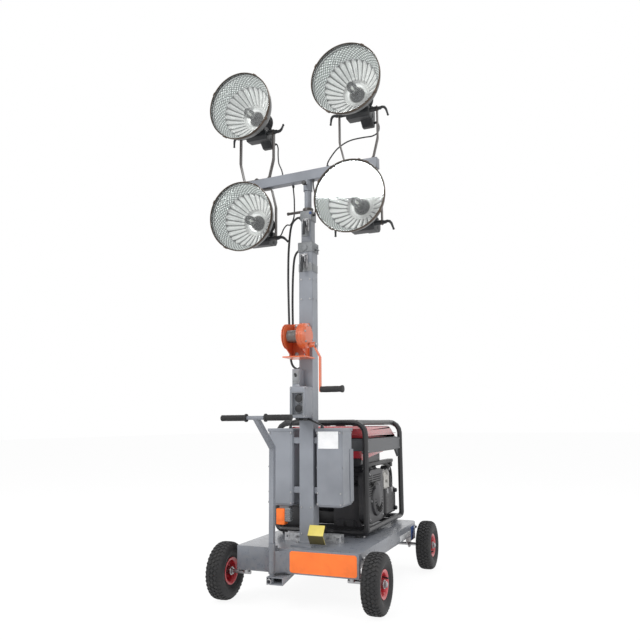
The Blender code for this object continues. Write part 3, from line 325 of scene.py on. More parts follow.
def makeFinishes():
    sprayed("towerGrey", (0.225, 0.240, 0.270), 0.34, dust=0.15, scuff=0.12)
    sprayed("deckGrey", (0.165, 0.178, 0.205), 0.26, dust=0.22, scuff=0.10, coat=0.35, dustTop=0.42)
    sprayed("boxGrey", (0.230, 0.245, 0.275), 0.40, dust=0.10, scuff=0.10, peel=0.22)
    sprayed("barGrey", (0.205, 0.220, 0.250), 0.38, dust=0.0, scuff=0.10)
    sprayed("winchOrange", (0.66, 0.130, 0.040), 0.30, dust=0.0, scuff=0.35, coat=0.4)
    sprayed("rimRed", (0.46, 0.012, 0.024), 0.28, dust=0.12, scuff=0.10, coat=0.4, dustTop=0.30)
    sprayed("frameBlack", (0.012, 0.012, 0.014), 0.36, dust=0.0, scuff=0.02, peel=0.04, coat=0.20)
    sprayed("tankRed", (0.36, 0.012, 0.022), 0.16, dust=0.05, scuff=0.10, coat=0.9, peel=0.05)
    sprayed("pedalYellow", (0.72, 0.60, 0.13), 0.42, dust=0.2, scuff=0.3)
    # painted shade: a dark olive copy of the pedal's yellow for its lower faces, which face down
    sprayed("pedalYellowPaintedShade", (0.105, 0.085, 0.024), 0.34, dust=0.0, scuff=0.15, coat=0.4)
    sprayed("panelGrey", (0.050, 0.054, 0.060), 0.42, dust=0.10, scuff=0.3)
    sprayed("yokeBrown", (0.060, 0.050, 0.045), 0.40, dust=0.0, scuff=0.6, coat=0.25)
    galvanised("zinc")
    galvanised("zincBright", 0.50, 260.0, (0.27, 0.28, 0.29))
    machined("steel")
    machined("castSilver", (0.62, 0.61, 0.58), 0.46, rust=0.05)
    moulded("castBlack", (0.018, 0.020, 0.023), 0.46, 520.0, 0.35, 0.10)
    moulded("tyreRubber", (0.013, 0.013, 0.014), 0.66, 420.0, 0.5, 0.22, dustColour=(0.085, 0.080, 0.074))
    moulded("gripRubber", (0.012, 0.012, 0.013), 0.58, 900.0, 0.2, 0.08)
    moulded("cableBlack", (0.012, 0.012, 0.013), 0.45, 700.0, 0.12, 0.06)
    moulded("plasticBlack", (0.020, 0.020, 0.022), 0.38, 1200.0, 0.15, 0.10)
    moulded("plasticGrey", (0.23, 0.24, 0.25), 0.42, 900.0, 0.12, 0.10)
    moulded("labelWhite", (0.78, 0.79, 0.80), 0.38, 900.0, 0.04, 0.06, dustColour=(0.62, 0.60, 0.56))
    moulded("stickerOrange", (0.90, 0.175, 0.020), 0.30, 900.0, 0.04, 0.05, dustColour=(0.75, 0.20, 0.05))
    moulded("engineGrey", (0.036, 0.036, 0.040), 0.42, 700.0, 0.2, 0.1)
    sprayed("spunMetal", (0.060, 0.063, 0.062), 0.40, dust=0.0, scuff=0.15, peel=0.08)
    machined("rimBronze", (0.115, 0.090, 0.072), 0.36, rust=0.0)
    moulded("frosted", (0.86, 0.85, 0.80), 0.35, 900.0, 0.03, 0.0)
    moulded("markBlue", (0.030, 0.075, 0.240), 0.40, 900.0, 0.06, 0.15)
    machined("ropeSteel", (0.34, 0.34, 0.33), 0.38, rust=0.1)
    machined("steelHeat", (0.30, 0.28, 0.26), 0.45, rust=0.6)
    # painted shade: near-black slabs stand in for the shade inside slots and holes
    moulded("openingPaintedShade", (0.006, 0.006, 0.006), 0.80, 900.0, 0.1, 0.0)
    moulded("socketBlue", (0.020, 0.060, 0.190), 0.36, 900.0, 0.08, 0.1)
    moulded("panelFace", (0.075, 0.078, 0.085), 0.42, 900.0, 0.08, 0.1)
    makeMirror()
    makeGlass()


# Bright aluminium in three zones: a diamond pattern of dimples, fluted petals with a toothed
# edge, and a polished cup with turned rings, their light and dark painted into the colour as
# painted reflections and painted shade. U runs once round and V from the rim to the middle.
def makeMirror():
    finish = Finish("mirror", (0.86, 0.87, 0.88), 0.12, 0.70)
    u, v = finish.axis("X", "UV"), finish.axis("Y", "UV")
    phase = (u * 26.0) % 1.0
    tooth = 1.0 - finish.size(phase * 2.0 - 1.0)
    outer = finish.remap(v + tooth * 0.075, 0.440, 0.430)
    cup = finish.remap(v, 0.828, 0.836)
    left = finish.size(((u * 52.0 + v * 15.0) % 1.0) * 2.0 - 1.0)
    right = finish.size(((u * 52.0 - v * 15.0) % 1.0) * 2.0 - 1.0)
    dimple = left * right
    cloud = finish.noise(26.0, 4.0)
    # painted reflection: the dimples are painted light and dark
    painted_dimple_lights = finish.mix(finish.remap(dimple, 0.10, 0.34), (0.24, 0.27, 0.26), (0.97, 1.0, 0.99))
    # painted shade: a dark band along the inner edge of the dimpled zone, next to the petals
    painted_gap_shade = outer * finish.remap(v, 0.392, 0.402)
    painted_dimple_lights = finish.mix(painted_gap_shade, painted_dimple_lights, (0.045, 0.050, 0.048))
    # painted highlight and shade: each petal is painted bright, with dark grooves between the petals
    flute_ramp_painted_sheen = finish.remap(phase, 0.06, 0.34) * finish.remap(phase, 1.0, 0.88)
    petals = finish.mix(flute_ramp_painted_sheen * (cloud * 0.3 + 0.85), (0.16, 0.17, 0.165), (1.0, 1.0, 0.99))
    # painted shade along the petals' toothed edge
    edge = finish.remap(finish.size(v + tooth * 0.075 - 0.447), 0.010, 0.003)
    petals = finish.mix(edge * 0.75, petals, (0.10, 0.11, 0.11))
    # painted reflection: the cup is painted bright with darker turned rings, and painted shade darkens its
    # middle round the socket
    rings = finish.size(((v * 24.0) % 1.0) * 2.0 - 1.0)
    bowl = finish.mix(finish.remap(rings, 0.86, 0.98) * 0.65, (0.96, 0.965, 0.95), (0.30, 0.31, 0.30))
    bowl = finish.mix(finish.remap(v, 0.955, 0.985), bowl, (0.10, 0.10, 0.095))
    base = finish.mix(outer, petals, painted_dimple_lights)
    shown = finish.mix(cup, base, bowl)
    # the painted colour is also fed to emission, so the reflector glows faintly as painted light
    finish.put(Base_Color=shown, Roughness=0.14 + cloud * 0.10 + outer * 0.10,
               Emission_Color=shown, Emission_Strength=0.16)
    finish.bump(dimple * outer + flute_ramp_painted_sheen * 0.4, 0.5, 0.0012)
    keep("mirror", finish)


# Window glass: clear head-on and shiny at a glance, with light let through to the reflector.
def makeGlass():
    finish = Finish("clearGlass", (0.92, 0.95, 0.95), 0.03)
    clear = finish.add("ShaderNodeBsdfTransparent", {}, (0.990, 0.996, 0.994, 1.0))
    smear = finish.noise(9.0, 4.0, rough=0.6)
    shine = finish.add("ShaderNodeBsdfGlossy", {}, (0.95, 0.97, 0.97, 1.0), 0.02 + smear * 0.05)
    edge = finish.add("ShaderNodeFresnel", {}, 1.50)
    shown = finish.add("ShaderNodeMixShader", {}, edge * 0.9 + smear * 0.03, clear, shine)
    finish.show(shown)
    keep("clearGlass", finish)


# columns: the frame's node, its finish
nodeFinishes = {
    "deck": "deckGrey", "tow_column": "towerGrey", "knuckle_": "steel", "tie_rod": "steel",
    "rear_axle": "steel", "tyre_": "tyreRubber", "rim_": "rimRed", "grip_": "gripRubber",
    "mast_outer": "towerGrey", "mast_middle": "towerGrey", "mast_clamp": "zincBright",
    "middle_clamp": "zincBright", "top_pole": "towerGrey", "crossbar": "barGrey", "yoke_": "yokeBrown",
    "reflector_": "mirror", "lamp_glass_": "clearGlass", "lamp_housing_": "castBlack",
    "winch_frame": "winchOrange", "winch_drum": "winchOrange", "winch_crank": "steel",
    "ballast_box_": "boxGrey", "socket_box": "boxGrey", "strut_rail": "zinc", "foot_pedal": "pedalYellow",
    "generator_frame": "frameBlack", "fuel_tank": "tankRed", "control_panel": "panelGrey",
    "engine": "engineGrey", "air_filter": "plasticBlack", "mast_cable_": "cableBlack",
    "head_cable": "cableBlack", "box_cable": "cableBlack", "lamp_lead_": "cableBlack",
}


def finishNodes():
    for name, node in nodes.items():
        found = [finish for start, finish in nodeFinishes.items() if name.startswith(start)]
        for slot in node.material_slots:
            slot.material = finishes[found[0]]


makeFinishes()
finishNodes()
print("finishes ready")


# finish to the record's own slot
slots = {
    "deckGrey": "deck_grey", "towerGrey": "mast_grey", "boxGrey": "mast_grey", "barGrey": "bar_grey",
    "zinc": "galvanised", "zincBright": "galvanised", "yokeBrown": "yoke_brown", "castBlack": "black_cast",
    "mirror": "reflector_metal", "clearGlass": "clear_glass", "winchOrange": "winch_orange",
    "rimRed": "rim_red", "tyreRubber": "tyre_rubber", "gripRubber": "grip_rubber", "steel": "steel",
    "frameBlack": "frame_black", "tankRed": "tank_red", "panelGrey": "panel_dark",
    "engineGrey": "engine_dark", "plasticBlack": "filter_black", "pedalYellow": "pedal_yellow",
    "cableBlack": "cable_black",
}
mastY = -0.343


def workOn(part):
    deselect()
    part.select_set(True)
    bpy.context.view_layer.objects.active = part


def settle(name):
    part = bpy.context.object
    part.name = part.data.name = name
    bpy.ops.object.transform_apply(location=True, rotation=True, scale=True)
    return part


def applyAll(part):
    workOn(part)
    for modifier in list(part.modifiers):
        bpy.ops.object.modifier_apply(modifier=modifier.name)
    return part


def soften(part, width, segments=2, angle=35.0):
    edge = part.modifiers.new("edge", "BEVEL")
    edge.width, edge.segments = width, segments
    edge.limit_method = "ANGLE"
    edge.angle_limit = math.radians(angle)
    return applyAll(part)


def slab(name, low, high, edge=0.0, segments=2):
    low, high = Vector(low), Vector(high)
    deselect()
    bpy.ops.mesh.primitive_cube_add(size=1.0, location=(low + high) / 2, scale=high - low)
    part = settle(name)
    return soften(part, edge, segments) if edge else part


def bar(name, start, end, radius, sides=24, edge=0.0, tip=None):
    start, end = Vector(start), Vector(end)
    run = end - start
    deselect()
    bpy.ops.mesh.primitive_cone_add(vertices=sides, radius1=radius, radius2=radius if tip is None else tip,
                                    depth=run.length, location=(start + end) / 2,
                                    rotation=run.to_track_quat("Z", "Y").to_euler())
    part = settle(name)
    return soften(part, edge, 2, 50.0) if edge else part


def fromPoints(name, points, edges=(), faces=()):
    mesh = bpy.data.meshes.new(name)
    mesh.from_pydata([tuple(point) for point in points], list(edges), list(faces))
    part = bpy.data.objects.new(name, mesh)
    scene.collection.objects.link(part)
    return part


# Spins an outline of (radius, along the axis) round; a closed outline is a ring.
def lathe(name, outline, steps, axis="X", centre=(0, 0, 0), closed=False):
    along = Vector({"X": (1, 0, 0), "Y": (0, -1, 0), "Z": (0, 0, 1)}[axis])
    out = Vector((1, 0, 0)) if axis == "Z" else Vector((0, 0, 1))
    centre = Vector(centre)
    points = [centre + out * radius + along * place for radius, place in outline]
    edges = [(i, i + 1) for i in range(len(points) - 1)] + ([(len(points) - 1, 0)] if closed else [])
    part = fromPoints(name, points, edges)
    workOn(part)
    bpy.ops.object.mode_set(mode="EDIT")
    bpy.ops.mesh.select_all(action="SELECT")
    bpy.ops.mesh.spin(steps=steps, angle=2 * math.pi, center=centre, axis=along)
    bpy.ops.mesh.select_all(action="SELECT")
    bpy.ops.mesh.remove_doubles(threshold=0.00003)
    bpy.ops.mesh.normals_make_consistent(inside=False)
    bpy.ops.object.mode_set(mode="OBJECT")
    return part


# Extrudes a flat outline; the outline is in the two axes other than the one it runs along.
def profile(name, outline, axis, low, high, edge=0.0, segments=2):
    order = {"X": lambda a, b: (low, a, b), "Y": lambda a, b: (a, low, b),
             "Z": lambda a, b: (a, b, low)}[axis]
    part = fromPoints(name, [order(a, b) for a, b in outline], [], [list(range(len(outline)))])
    shift = Vector({"X": (1, 0, 0), "Y": (0, 1, 0), "Z": (0, 0, 1)}[axis]) * (high - low)
    workOn(part)
    bpy.ops.object.mode_set(mode="EDIT")
    bpy.ops.mesh.select_all(action="SELECT")
    bpy.ops.mesh.extrude_region_move(TRANSFORM_OT_translate={"value": shift})
    bpy.ops.mesh.select_all(action="SELECT")
    bpy.ops.mesh.normals_make_consistent(inside=False)
    bpy.ops.object.mode_set(mode="OBJECT")
    return soften(part, edge, segments) if edge else part


def joined(name, parts):
    deselect()
    for part in parts:
        part.select_set(True)
    bpy.context.view_layer.objects.active = parts[0]
    if len(parts) > 1:
        bpy.ops.object.join()
    parts[0].name = parts[0].data.name = name
    return parts[0]


def copied(part, name, matrix):
    mesh = part.data.copy()
    mesh.transform(matrix)
    if matrix.determinant() < 0:
        mesh.flip_normals()
    twin = bpy.data.objects.new(name, mesh)
    scene.collection.objects.link(twin)
    return twin


# One mesh with a copy of a small part at each place; the part itself goes.
def scattered(name, part, places):
    shape = bmesh.new()
    for place in places:
        mesh = part.data.copy()
        mesh.transform(place)
        shape.from_mesh(mesh)
        bpy.data.meshes.remove(mesh)
    made = fromPoints(name, [])
    shape.to_mesh(made.data)
    shape.free()
    made.data.materials.clear()
    bpy.data.objects.remove(part)
    return made


# A round tube along a line of points, as a curve.
def tube(name, line, radius, resolution):
    curve = bpy.data.curves.new(name, "CURVE")
    curve.dimensions = "3D"
    curve.bevel_depth, curve.bevel_resolution = radius, resolution
    spline = curve.splines.new("POLY")
    spline.points.add(len(line) - 1)
    for point, place in zip(spline.points, line):
        point.co = (*place, 1.0)
    part = bpy.data.objects.new(name, curve)
    scene.collection.objects.link(part)
    return part


def dress(part, finish, body, smooth=32.0):
    part.data.materials.clear()
    part.data.materials.append(finishes[finish])
    workOn(part)
    bpy.ops.object.shade_smooth_by_angle(angle=math.radians(smooth))
    finish in slots
    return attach(part, body)


def turn(degrees, axis):
    return Matrix.Rotation(math.radians(degrees), 4, axis)


def shift(x, y, z):
    return Matrix.Translation((x, y, z))


# A hexagon nut or bolt head with its washer, standing on a surface and pointing along Z.
def boltHead(size=0.008, height=0.006, washer=True):
    head = bar("bolt", (0, 0, 0), (0, 0, height), size, 6, edge=size * 0.12)
    parts = [head]
    if washer:
        parts.append(bar("washer", (0, 0, -0.0012), (0, 0, 0.0004), size * 1.35, 20))
    parts.append(bar("thread", (0, 0, height * 0.6), (0, 0, height * 1.35), size * 0.5, 12, edge=size * 0.08))
    return joined("bolt", parts)


def facing(place, direction):
    return Matrix.Translation(place) @ Vector(direction).to_track_quat("Z", "Y").to_matrix().to_4x4()


# Places round a circle about an axis along X, all facing one way along it.
def circleSpots(x, y, z, radius, count, start, side=1):
    angles = [math.radians(start + 360.0 / count * number) for number in range(count)]
    return [facing((x, y + radius * math.cos(a), z + radius * math.sin(a)), (side, 0, 0)) for a in angles]


wheel = {
    "radius": 0.13, "track": 0.745, "base": 0.954, "blocks": 38, "rows": (-0.0165, 0.0, 0.0165),
    "shoulder": 0.0318, "steps": 96, "bolts": 4, "boltCircle": 0.0325,
}
# columns: radius and distance from the middle of the tyre's outer skin, from the bead to the crown
tyreSkin = [(0.0508, 0.0288), (0.0655, 0.0288), (0.0700, 0.0318), (0.0735, 0.0350), (0.0765, 0.0358),
            (0.0785, 0.0382), (0.0840, 0.0402), (0.0905, 0.0416), (0.0925, 0.0424), (0.0950, 0.0424),
            (0.0970, 0.0420), (0.1040, 0.0418), (0.1100, 0.0404), (0.1150, 0.0380), (0.1190, 0.0348),
            (0.1222, 0.0300), (0.1242, 0.0230), (0.1250, 0.0120), (0.1252, 0.0)]


def makeTyre():
    skin = tyreSkin + [(radius, -place) for radius, place in reversed(tyreSkin[:-1])]
    carcass = lathe("carcass", skin, wheel["steps"], closed=True)
    parts = [carcass]
    pitch = 360.0 / wheel["blocks"]
    for row, x in enumerate(wheel["rows"]):
        deselect()
        bpy.ops.mesh.primitive_cone_add(vertices=4, radius1=0.0118, radius2=0.0096, depth=0.0064,
                                        location=(0, 0, 0))
        block = settle("block")
        block.data.transform(Matrix.Diagonal((0.98, 0.80, 1.0, 1.0)))
        soften(block, 0.0009, 1)
        lift = 0.1266 if x == 0.0 else 0.1259
        tilt = -x * 260.0
        places = [turn(pitch * (number + 0.5 * (row % 2)), "X") @ shift(x, 0, lift) @ turn(-tilt, "Y")
                  for number in range(wheel["blocks"])]
        parts.append(scattered(f"treadRow{row}", block, places))
    for side in (-1, 1):
        block = slab("block", (-0.0062, -0.0046, -0.0045), (0.0062, 0.0046, 0.0030), 0.0012, 1)
        places = [turn(pitch * number, "X") @ shift(side * wheel["shoulder"], 0, 0.1205)
                  @ turn(side * 42.0, "Y") for number in range(wheel["blocks"])]
        parts.append(scattered("shoulderRow", block, places))
    return joined("tyreShape", parts)


def makeRim():
    disc = [(0.0185, 0.0300), (0.0185, 0.0085), (0.0235, 0.0070), (0.0300, 0.0052), (0.0400, 0.0030),
            (0.0432, 0.0050), (0.0445, 0.0120), (0.0456, 0.0255), (0.0480, 0.0290), (0.0530, 0.0312),
            (0.0590, 0.0334), (0.0610, 0.0330), (0.0620, 0.0316), (0.0612, 0.0302), (0.0560, 0.0290),
            (0.0505, 0.0286), (0.0500, 0.0100)]
    inner = [(0.0500, -0.0100), (0.0505, -0.0286), (0.0560, -0.0290), (0.0612, -0.0302), (0.0620, -0.0316),
             (0.0610, -0.0330), (0.0590, -0.0334), (0.0530, -0.0312), (0.0480, -0.0290), (0.0456, -0.0255),
             (0.0445, -0.0120), (0.0432, -0.0010), (0.0400, 0.0005), (0.0235, 0.0025), (0.0185, 0.0030)]
    rim = lathe("rimShape", disc + inner, 64, closed=True)
    hub = lathe("hub", [(0.0092, 0.034), (0.0178, 0.034), (0.0190, 0.0328), (0.0190, -0.0328),
                        (0.0178, -0.034), (0.0092, -0.034)], 40, closed=True)
    bearing = lathe("bearing", [(0.0092, 0.0344), (0.0125, 0.0344), (0.0135, 0.0335), (0.0150, 0.0335),
                                (0.0160, 0.0343), (0.0092, 0.0346)], 32, closed=True)
    bolt = boltHead(0.0062, 0.0045)
    pitch = 360.0 / wheel["bolts"]
    places = [turn(pitch * number + 45.0, "X") @ shift(0.0050, 0, wheel["boltCircle"]) @ turn(90.0, "Y")
              for number in range(wheel["bolts"])]
    bolts = scattered("bolts", bolt, places)
    stem = joined("valve", [bar("valve", (0.012, 0, 0.0440), (0.030, 0, 0.0400), 0.0032, 12),
                            bar("valveCap", (0.029, 0, 0.0402), (0.040, 0, 0.0376), 0.0040, 12, edge=0.0006)])
    return rim, joined("hubShape", [hub, bearing, bolts]), stem


# A castle nut, a washer and a split pin on each end of the axles.
def makeAxleEnd():
    parts = [bar("axleWasher", (0.0345, 0, 0), (0.0362, 0, 0), 0.0155, 28, edge=0.0004),
             bar("axleNut", (0.0362, 0, 0), (0.0435, 0, 0), 0.0140, 6, edge=0.0012),
             bar("axleTip", (0.0300, 0, 0), (0.0465, 0, 0), 0.0084, 24, edge=0.0010),
             bar("splitPin", (0.0448, 0, -0.0125), (0.0448, 0, 0.0125), 0.0012, 8)]
    return joined("axleEnd", parts)


def makeWheels():
    tyre = makeTyre()
    rim, hub, stem = makeRim()
    end = makeAxleEnd()
    half = wheel["track"] / 2
    reach = wheel["base"] / 2
    # columns: place, side, Y, carrying body, turn of the wheel
    corners = [("front_left", -1, -reach, "knuckle_left", 20.0),
               ("front_right", 1, -reach, "knuckle_right", -62.0),
               ("rear_left", -1, reach, "base", 75.0), ("rear_right", 1, reach, "base", 140.0)]
    for place, side, y, carrier, start in corners:
        seat = shift(side * half, y, wheel["radius"]) @ turn(0.0 if side > 0 else 180.0, "Z")
        body = f"wheel_{place}"
        spin = seat @ turn(start, "X")
        made = dress(copied(tyre, f"tyre_{place}_tread", spin), "tyreRubber", body, 38.0)
        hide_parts(f"tyre_{place}")
        made = dress(copied(rim, f"rim_{place}_disc", spin), "rimRed", body)
        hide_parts(f"rim_{place}")
        dress(copied(hub, f"hub_{place}", spin), "steel", body)
        dress(copied(stem, f"valve_{place}", spin), "plasticBlack", body)
        dress(copied(end, f"axle_end_{place}", seat), "steel", carrier)
    for part in (tyre, rim, hub, stem, end):
        bpy.data.objects.remove(part)


makeWheels()
print("wheels ready")

head = {"turn": -3.5, "barBottom": 2.0461, "barHeight": 0.0535, "upperReach": 0.2644, "lowerReach": 0.2761}
# columns: name, place along the bar, turn, droop, side of the bar
lampPlaces = [("upper_left", -0.308, 3.2, 4.0, 1), ("upper_right", 0.285, 4.1, 2.7, 1),
              ("lower_left", -0.292, 3.3, 5.5, -1), ("lower_right", 0.299, 2.8, 0.9, -1)]
lampShape = {
    "rimForward": 0.1942, "rise": 0.0893, "petals": 26, "petalDepth": 0.0052, "petalOuter": 0.132,
    "petalInner": 0.066, "perPetal": 8, "leverSeat": 0.1027, "leverWidth": 0.80, "leverHeight": 0.74,
}
# turn of the left and the right lever about the trunnion
leverLean = {"upper_left": (20.0, 160.0), "upper_right": (10.0, 25.0), "lower_left": (-70.0, 70.0),
             "lower_right": (30.0, 30.0)}
headFrame = shift(0, mastY, 0) @ turn(head["turn"], "Z")


def reachOf(up):
    return head["upperReach"] if up > 0 else head["lowerReach"]


def stemFrame(x, swing, up):
    face = head["barBottom"] + (head["barHeight"] if up > 0 else 0.0)
    return headFrame @ shift(x, 0, face) @ turn(swing, "Z")


def lampFrame(x, swing, droop, up):
    return stemFrame(x, swing, up) @ shift(0, 0, up * reachOf(up)) @ turn(droop, "X")


# The reflector's bowl: a dimpled outer band, fluted petals with a toothed edge, and a smooth cup.
# U runs once round and V from the rim, 0, to the middle, 1.
def makeBowl():
    bell = [(0.1716, 0.0), (0.1710, 0.012), (0.1690, 0.024), (0.1620, 0.044), (0.1510, 0.067),
            (0.1380, 0.090), (0.1240, 0.1095), (0.1080, 0.129), (0.0910, 0.1465), (0.0740, 0.162),
            (0.0660, 0.1715), (0.0600, 0.183), (0.0480, 0.1885), (0.0340, 0.191)]
    lengths = [0.0]
    for (r0, d0), (r1, d1) in zip(bell, bell[1:]):
        lengths.append(lengths[-1] + math.hypot(r1 - r0, d1 - d0))
    rings = 46
    around = lampShape["petals"] * lampShape["perPetal"]
    outline = []
    for ring in range(rings + 1):
        length = lengths[-1] * ring / rings
        i = max(n for n in range(len(lengths)) if lengths[n] <= length + 1e-9)
        i = min(i, len(bell) - 2)
        t = (length - lengths[i]) / (lengths[i + 1] - lengths[i])
        outline.append([bell[i][k] + (bell[i + 1][k] - bell[i][k]) * t for k in (0, 1)])
    points, faces = [], []
    for ring, (radius, depth) in enumerate(outline):
        for step in range(around):
            angle = 2 * math.pi * step / around
            phase = (step % lampShape["perPetal"]) / lampShape["perPetal"]
            tooth = 1.0 - abs(2.0 * phase - 1.0)
            outer = lampShape["petalOuter"] + 0.010 * tooth
            inside = min(1.0, max(0.0, (outer - radius) / 0.004))
            inside *= min(1.0, max(0.0, (radius - lampShape["petalInner"]) / 0.006))
            wave = 0.35 + 0.9 * math.sin(math.pi * phase)
            flute = inside * lampShape["petalDepth"] * wave * (radius / lampShape["petalOuter"])
            reach, front = radius - flute * 0.55, -lampShape["rimForward"] + depth - flute * 0.75
            points.append((reach * math.sin(angle), front, lampShape["rise"] + reach * math.cos(angle)))
    for ring in range(rings):
        for step in range(around):
            a, b = ring * around + step, ring * around + (step + 1) % around
            faces.append((a, b, b + around, a + around))
    bowl = fromPoints("bowl", points, [], faces)
    layer = bowl.data.uv_layers.new(name="petalMap")
    for polygon in bowl.data.polygons:
        for corner, (du, dv) in zip(polygon.loop_indices, ((0, 0), (1, 0), (1, 1), (0, 1))):
            ring, step = divmod(polygon.index, around)
            layer.data[corner].uv = ((step + du) / around, (ring + dv) / rings)
    return bowl


# The outside of the bell in spun aluminium, rolled over at the front.
def makeBell():
    front = -lampShape["rimForward"]
    skin = [(0.1708, 0.0005), (0.1728, 0.0), (0.1732, 0.012), (0.1712, 0.024), (0.1642, 0.046),
            (0.1530, 0.070), (0.1400, 0.0925), (0.1240, 0.1130), (0.1082, 0.1315), (0.0912, 0.1490),
            (0.0748, 0.1645), (0.0660, 0.1770), (0.0620, 0.1865), (0.0400, 0.1935), (0.0330, 0.1935),
            (0.0330, 0.1920), (0.0480, 0.1900), (0.0595, 0.1850), (0.0650, 0.1740), (0.0735, 0.1640),
            (0.0900, 0.1490), (0.1385, 0.0918), (0.1622, 0.0460), (0.1700, 0.0200)]
    return lathe("bell", [(radius, -depth) for radius, depth in skin], 96, "Y",
                 (0, front, lampShape["rise"]), closed=True)


def makeRimRing():
    front = -lampShape["rimForward"]
    section = [(0.1706, 0.0008), (0.1712, 0.0034), (0.1732, 0.0046), (0.1750, 0.0036), (0.1756, 0.0),
               (0.1754, -0.0085), (0.1740, -0.0100), (0.1731, -0.0094), (0.1731, -0.0006)]
    ring = lathe("ring", section, 96, "Y", (0, front, lampShape["rise"]), closed=True)
    clip = joined("clip", [slab("clip", (-0.009, -0.0052, -0.0030), (0.009, 0.0120, 0.0022), 0.0010, 1),
                           slab("clipFoot", (-0.006, 0.0080, -0.0050), (0.006, 0.0180, 0.0012), 0.0010, 1)])
    places = [shift(0, front, lampShape["rise"]) @ turn(90.0 * number + 32.0, "Y") @ shift(0, 0, 0.1760)
              for number in range(4)]
    return joined("ring", [ring, scattered("clips", clip, places)])


def makePane():
    front = -lampShape["rimForward"]
    outline = [(0.0, -0.0030), (0.0600, -0.0030), (0.1200, -0.0030), (0.1670, -0.0030), (0.1690, -0.0030),
               (0.1700, -0.0034), (0.1705, -0.0042), (0.1705, -0.0060), (0.1700, -0.0068), (0.1690, -0.0070),
               (0.1670, -0.0070), (0.1200, -0.0070), (0.0600, -0.0070), (0.0, -0.0070)]
    return lathe("pane", outline, 96, "Y", (0, front, lampShape["rise"]))


# The discharge lamp: a clear outer bulb, a frosted arc tube on wires, and a black socket ring.
def makeBulb():
    rise = lampShape["rise"]
    front = -lampShape["rimForward"]
    base = front + 0.190
    envelope = lathe("envelope", [(0.0, 0.122), (0.010, 0.1195), (0.0185, 0.112), (0.0235, 0.099),
                                  (0.0250, 0.084), (0.0235, 0.066), (0.0195, 0.048), (0.0185, 0.030),
                                  (0.0185, 0.010)], 40, "Y", (0, base, rise))
    arc = lathe("arcTube", [(0.0, 0.092), (0.0045, 0.090), (0.0062, 0.084), (0.0062, 0.066), (0.0045, 0.060),
                            (0.0, 0.058)], 20, "Y", (0, base, rise))
    wires = joined("wires", [bar("wire", (side * 0.010, base - 0.012, rise),
                                 (side * 0.009, base - 0.098, rise), 0.0009, 8) for side in (-1, 1)]
                   + [bar("wire", (-0.010, base - 0.052, rise), (0.010, base - 0.052, rise), 0.0009, 8),
                      bar("wire", (-0.009, base - 0.098, rise), (0.009, base - 0.098, rise), 0.0009, 8)])
    socket = lathe("socketRing", [(0.0195, 0.030), (0.0235, 0.030), (0.0250, 0.026), (0.0250, 0.002),
                                  (0.0310, 0.000), (0.0330, -0.004), (0.0195, -0.004)], 40, "Y",
                   (0, base, rise), closed=True)
    return envelope, arc, wires, socket


def makeHousing(drop):
    rise = lampShape["rise"]
    back = -lampShape["rimForward"] + 0.1925
    outline = [(0.0, -0.001), (0.060, -0.001), (0.0620, -0.003), (0.0620, -0.014)]
    for rib in range(5):
        start = 0.014 + rib * 0.0125
        outline += [(0.0545, -start - 0.0010), (0.0545, -start - 0.0070), (0.0615, -start - 0.0080),
                    (0.0620, -start - 0.0095), (0.0615, -start - 0.0118)]
    outline += [(0.0560, -0.0840), (0.0480, -0.0885), (0.0460, -0.0895), (0.0, -0.0895)]
    drum = lathe("drum", outline, 64, "Y", (0, back, rise))
    chin = profile("chin", [(-0.022, -0.012), (-0.010, -0.032), (0.048, -0.032), (0.060, -0.018),
                            (0.060, 0.016), (-0.016, 0.016)], "X", -0.062, 0.062, 0.0050, 3)
    neck = profile("neck", [(back + 0.001, 0.0), (0.066, 0.0), (0.066, 0.062), (back + 0.001, 0.062)], "X",
                   -0.045, 0.045, 0.0050, 3)
    tail = profile("tail", [(0.022, -0.026), (0.060, 0.050), (0.101, 0.029), (0.0995, -0.006),
                            (0.0860, -drop), (0.060, -drop)], "X", 0.0, 0.062, 0.0060, 3)
    shaft = bar("trunnion", (-0.0972, 0, 0), (0.0972, 0, 0), 0.0118, 28)
    screw = bar("screw", (0, 0, 0), (0, 0, 0.0024), 0.0042, 16, edge=0.0007)
    spots = [facing((x, 0.096, z), (0.0, 1.0, 0.12)) for x in (0.010, 0.052) for z in (0.014, -0.010)]
    spots += [facing((0.038 * math.cos(a), back + 0.0892, rise + 0.038 * math.sin(a)), (0, 1, 0))
              for a in (0.6, 2.5, 3.9, 5.6)]
    screws = scattered("screws", screw, spots)
    return joined("housing", [drum, chin, neck, tail, shaft, screws])


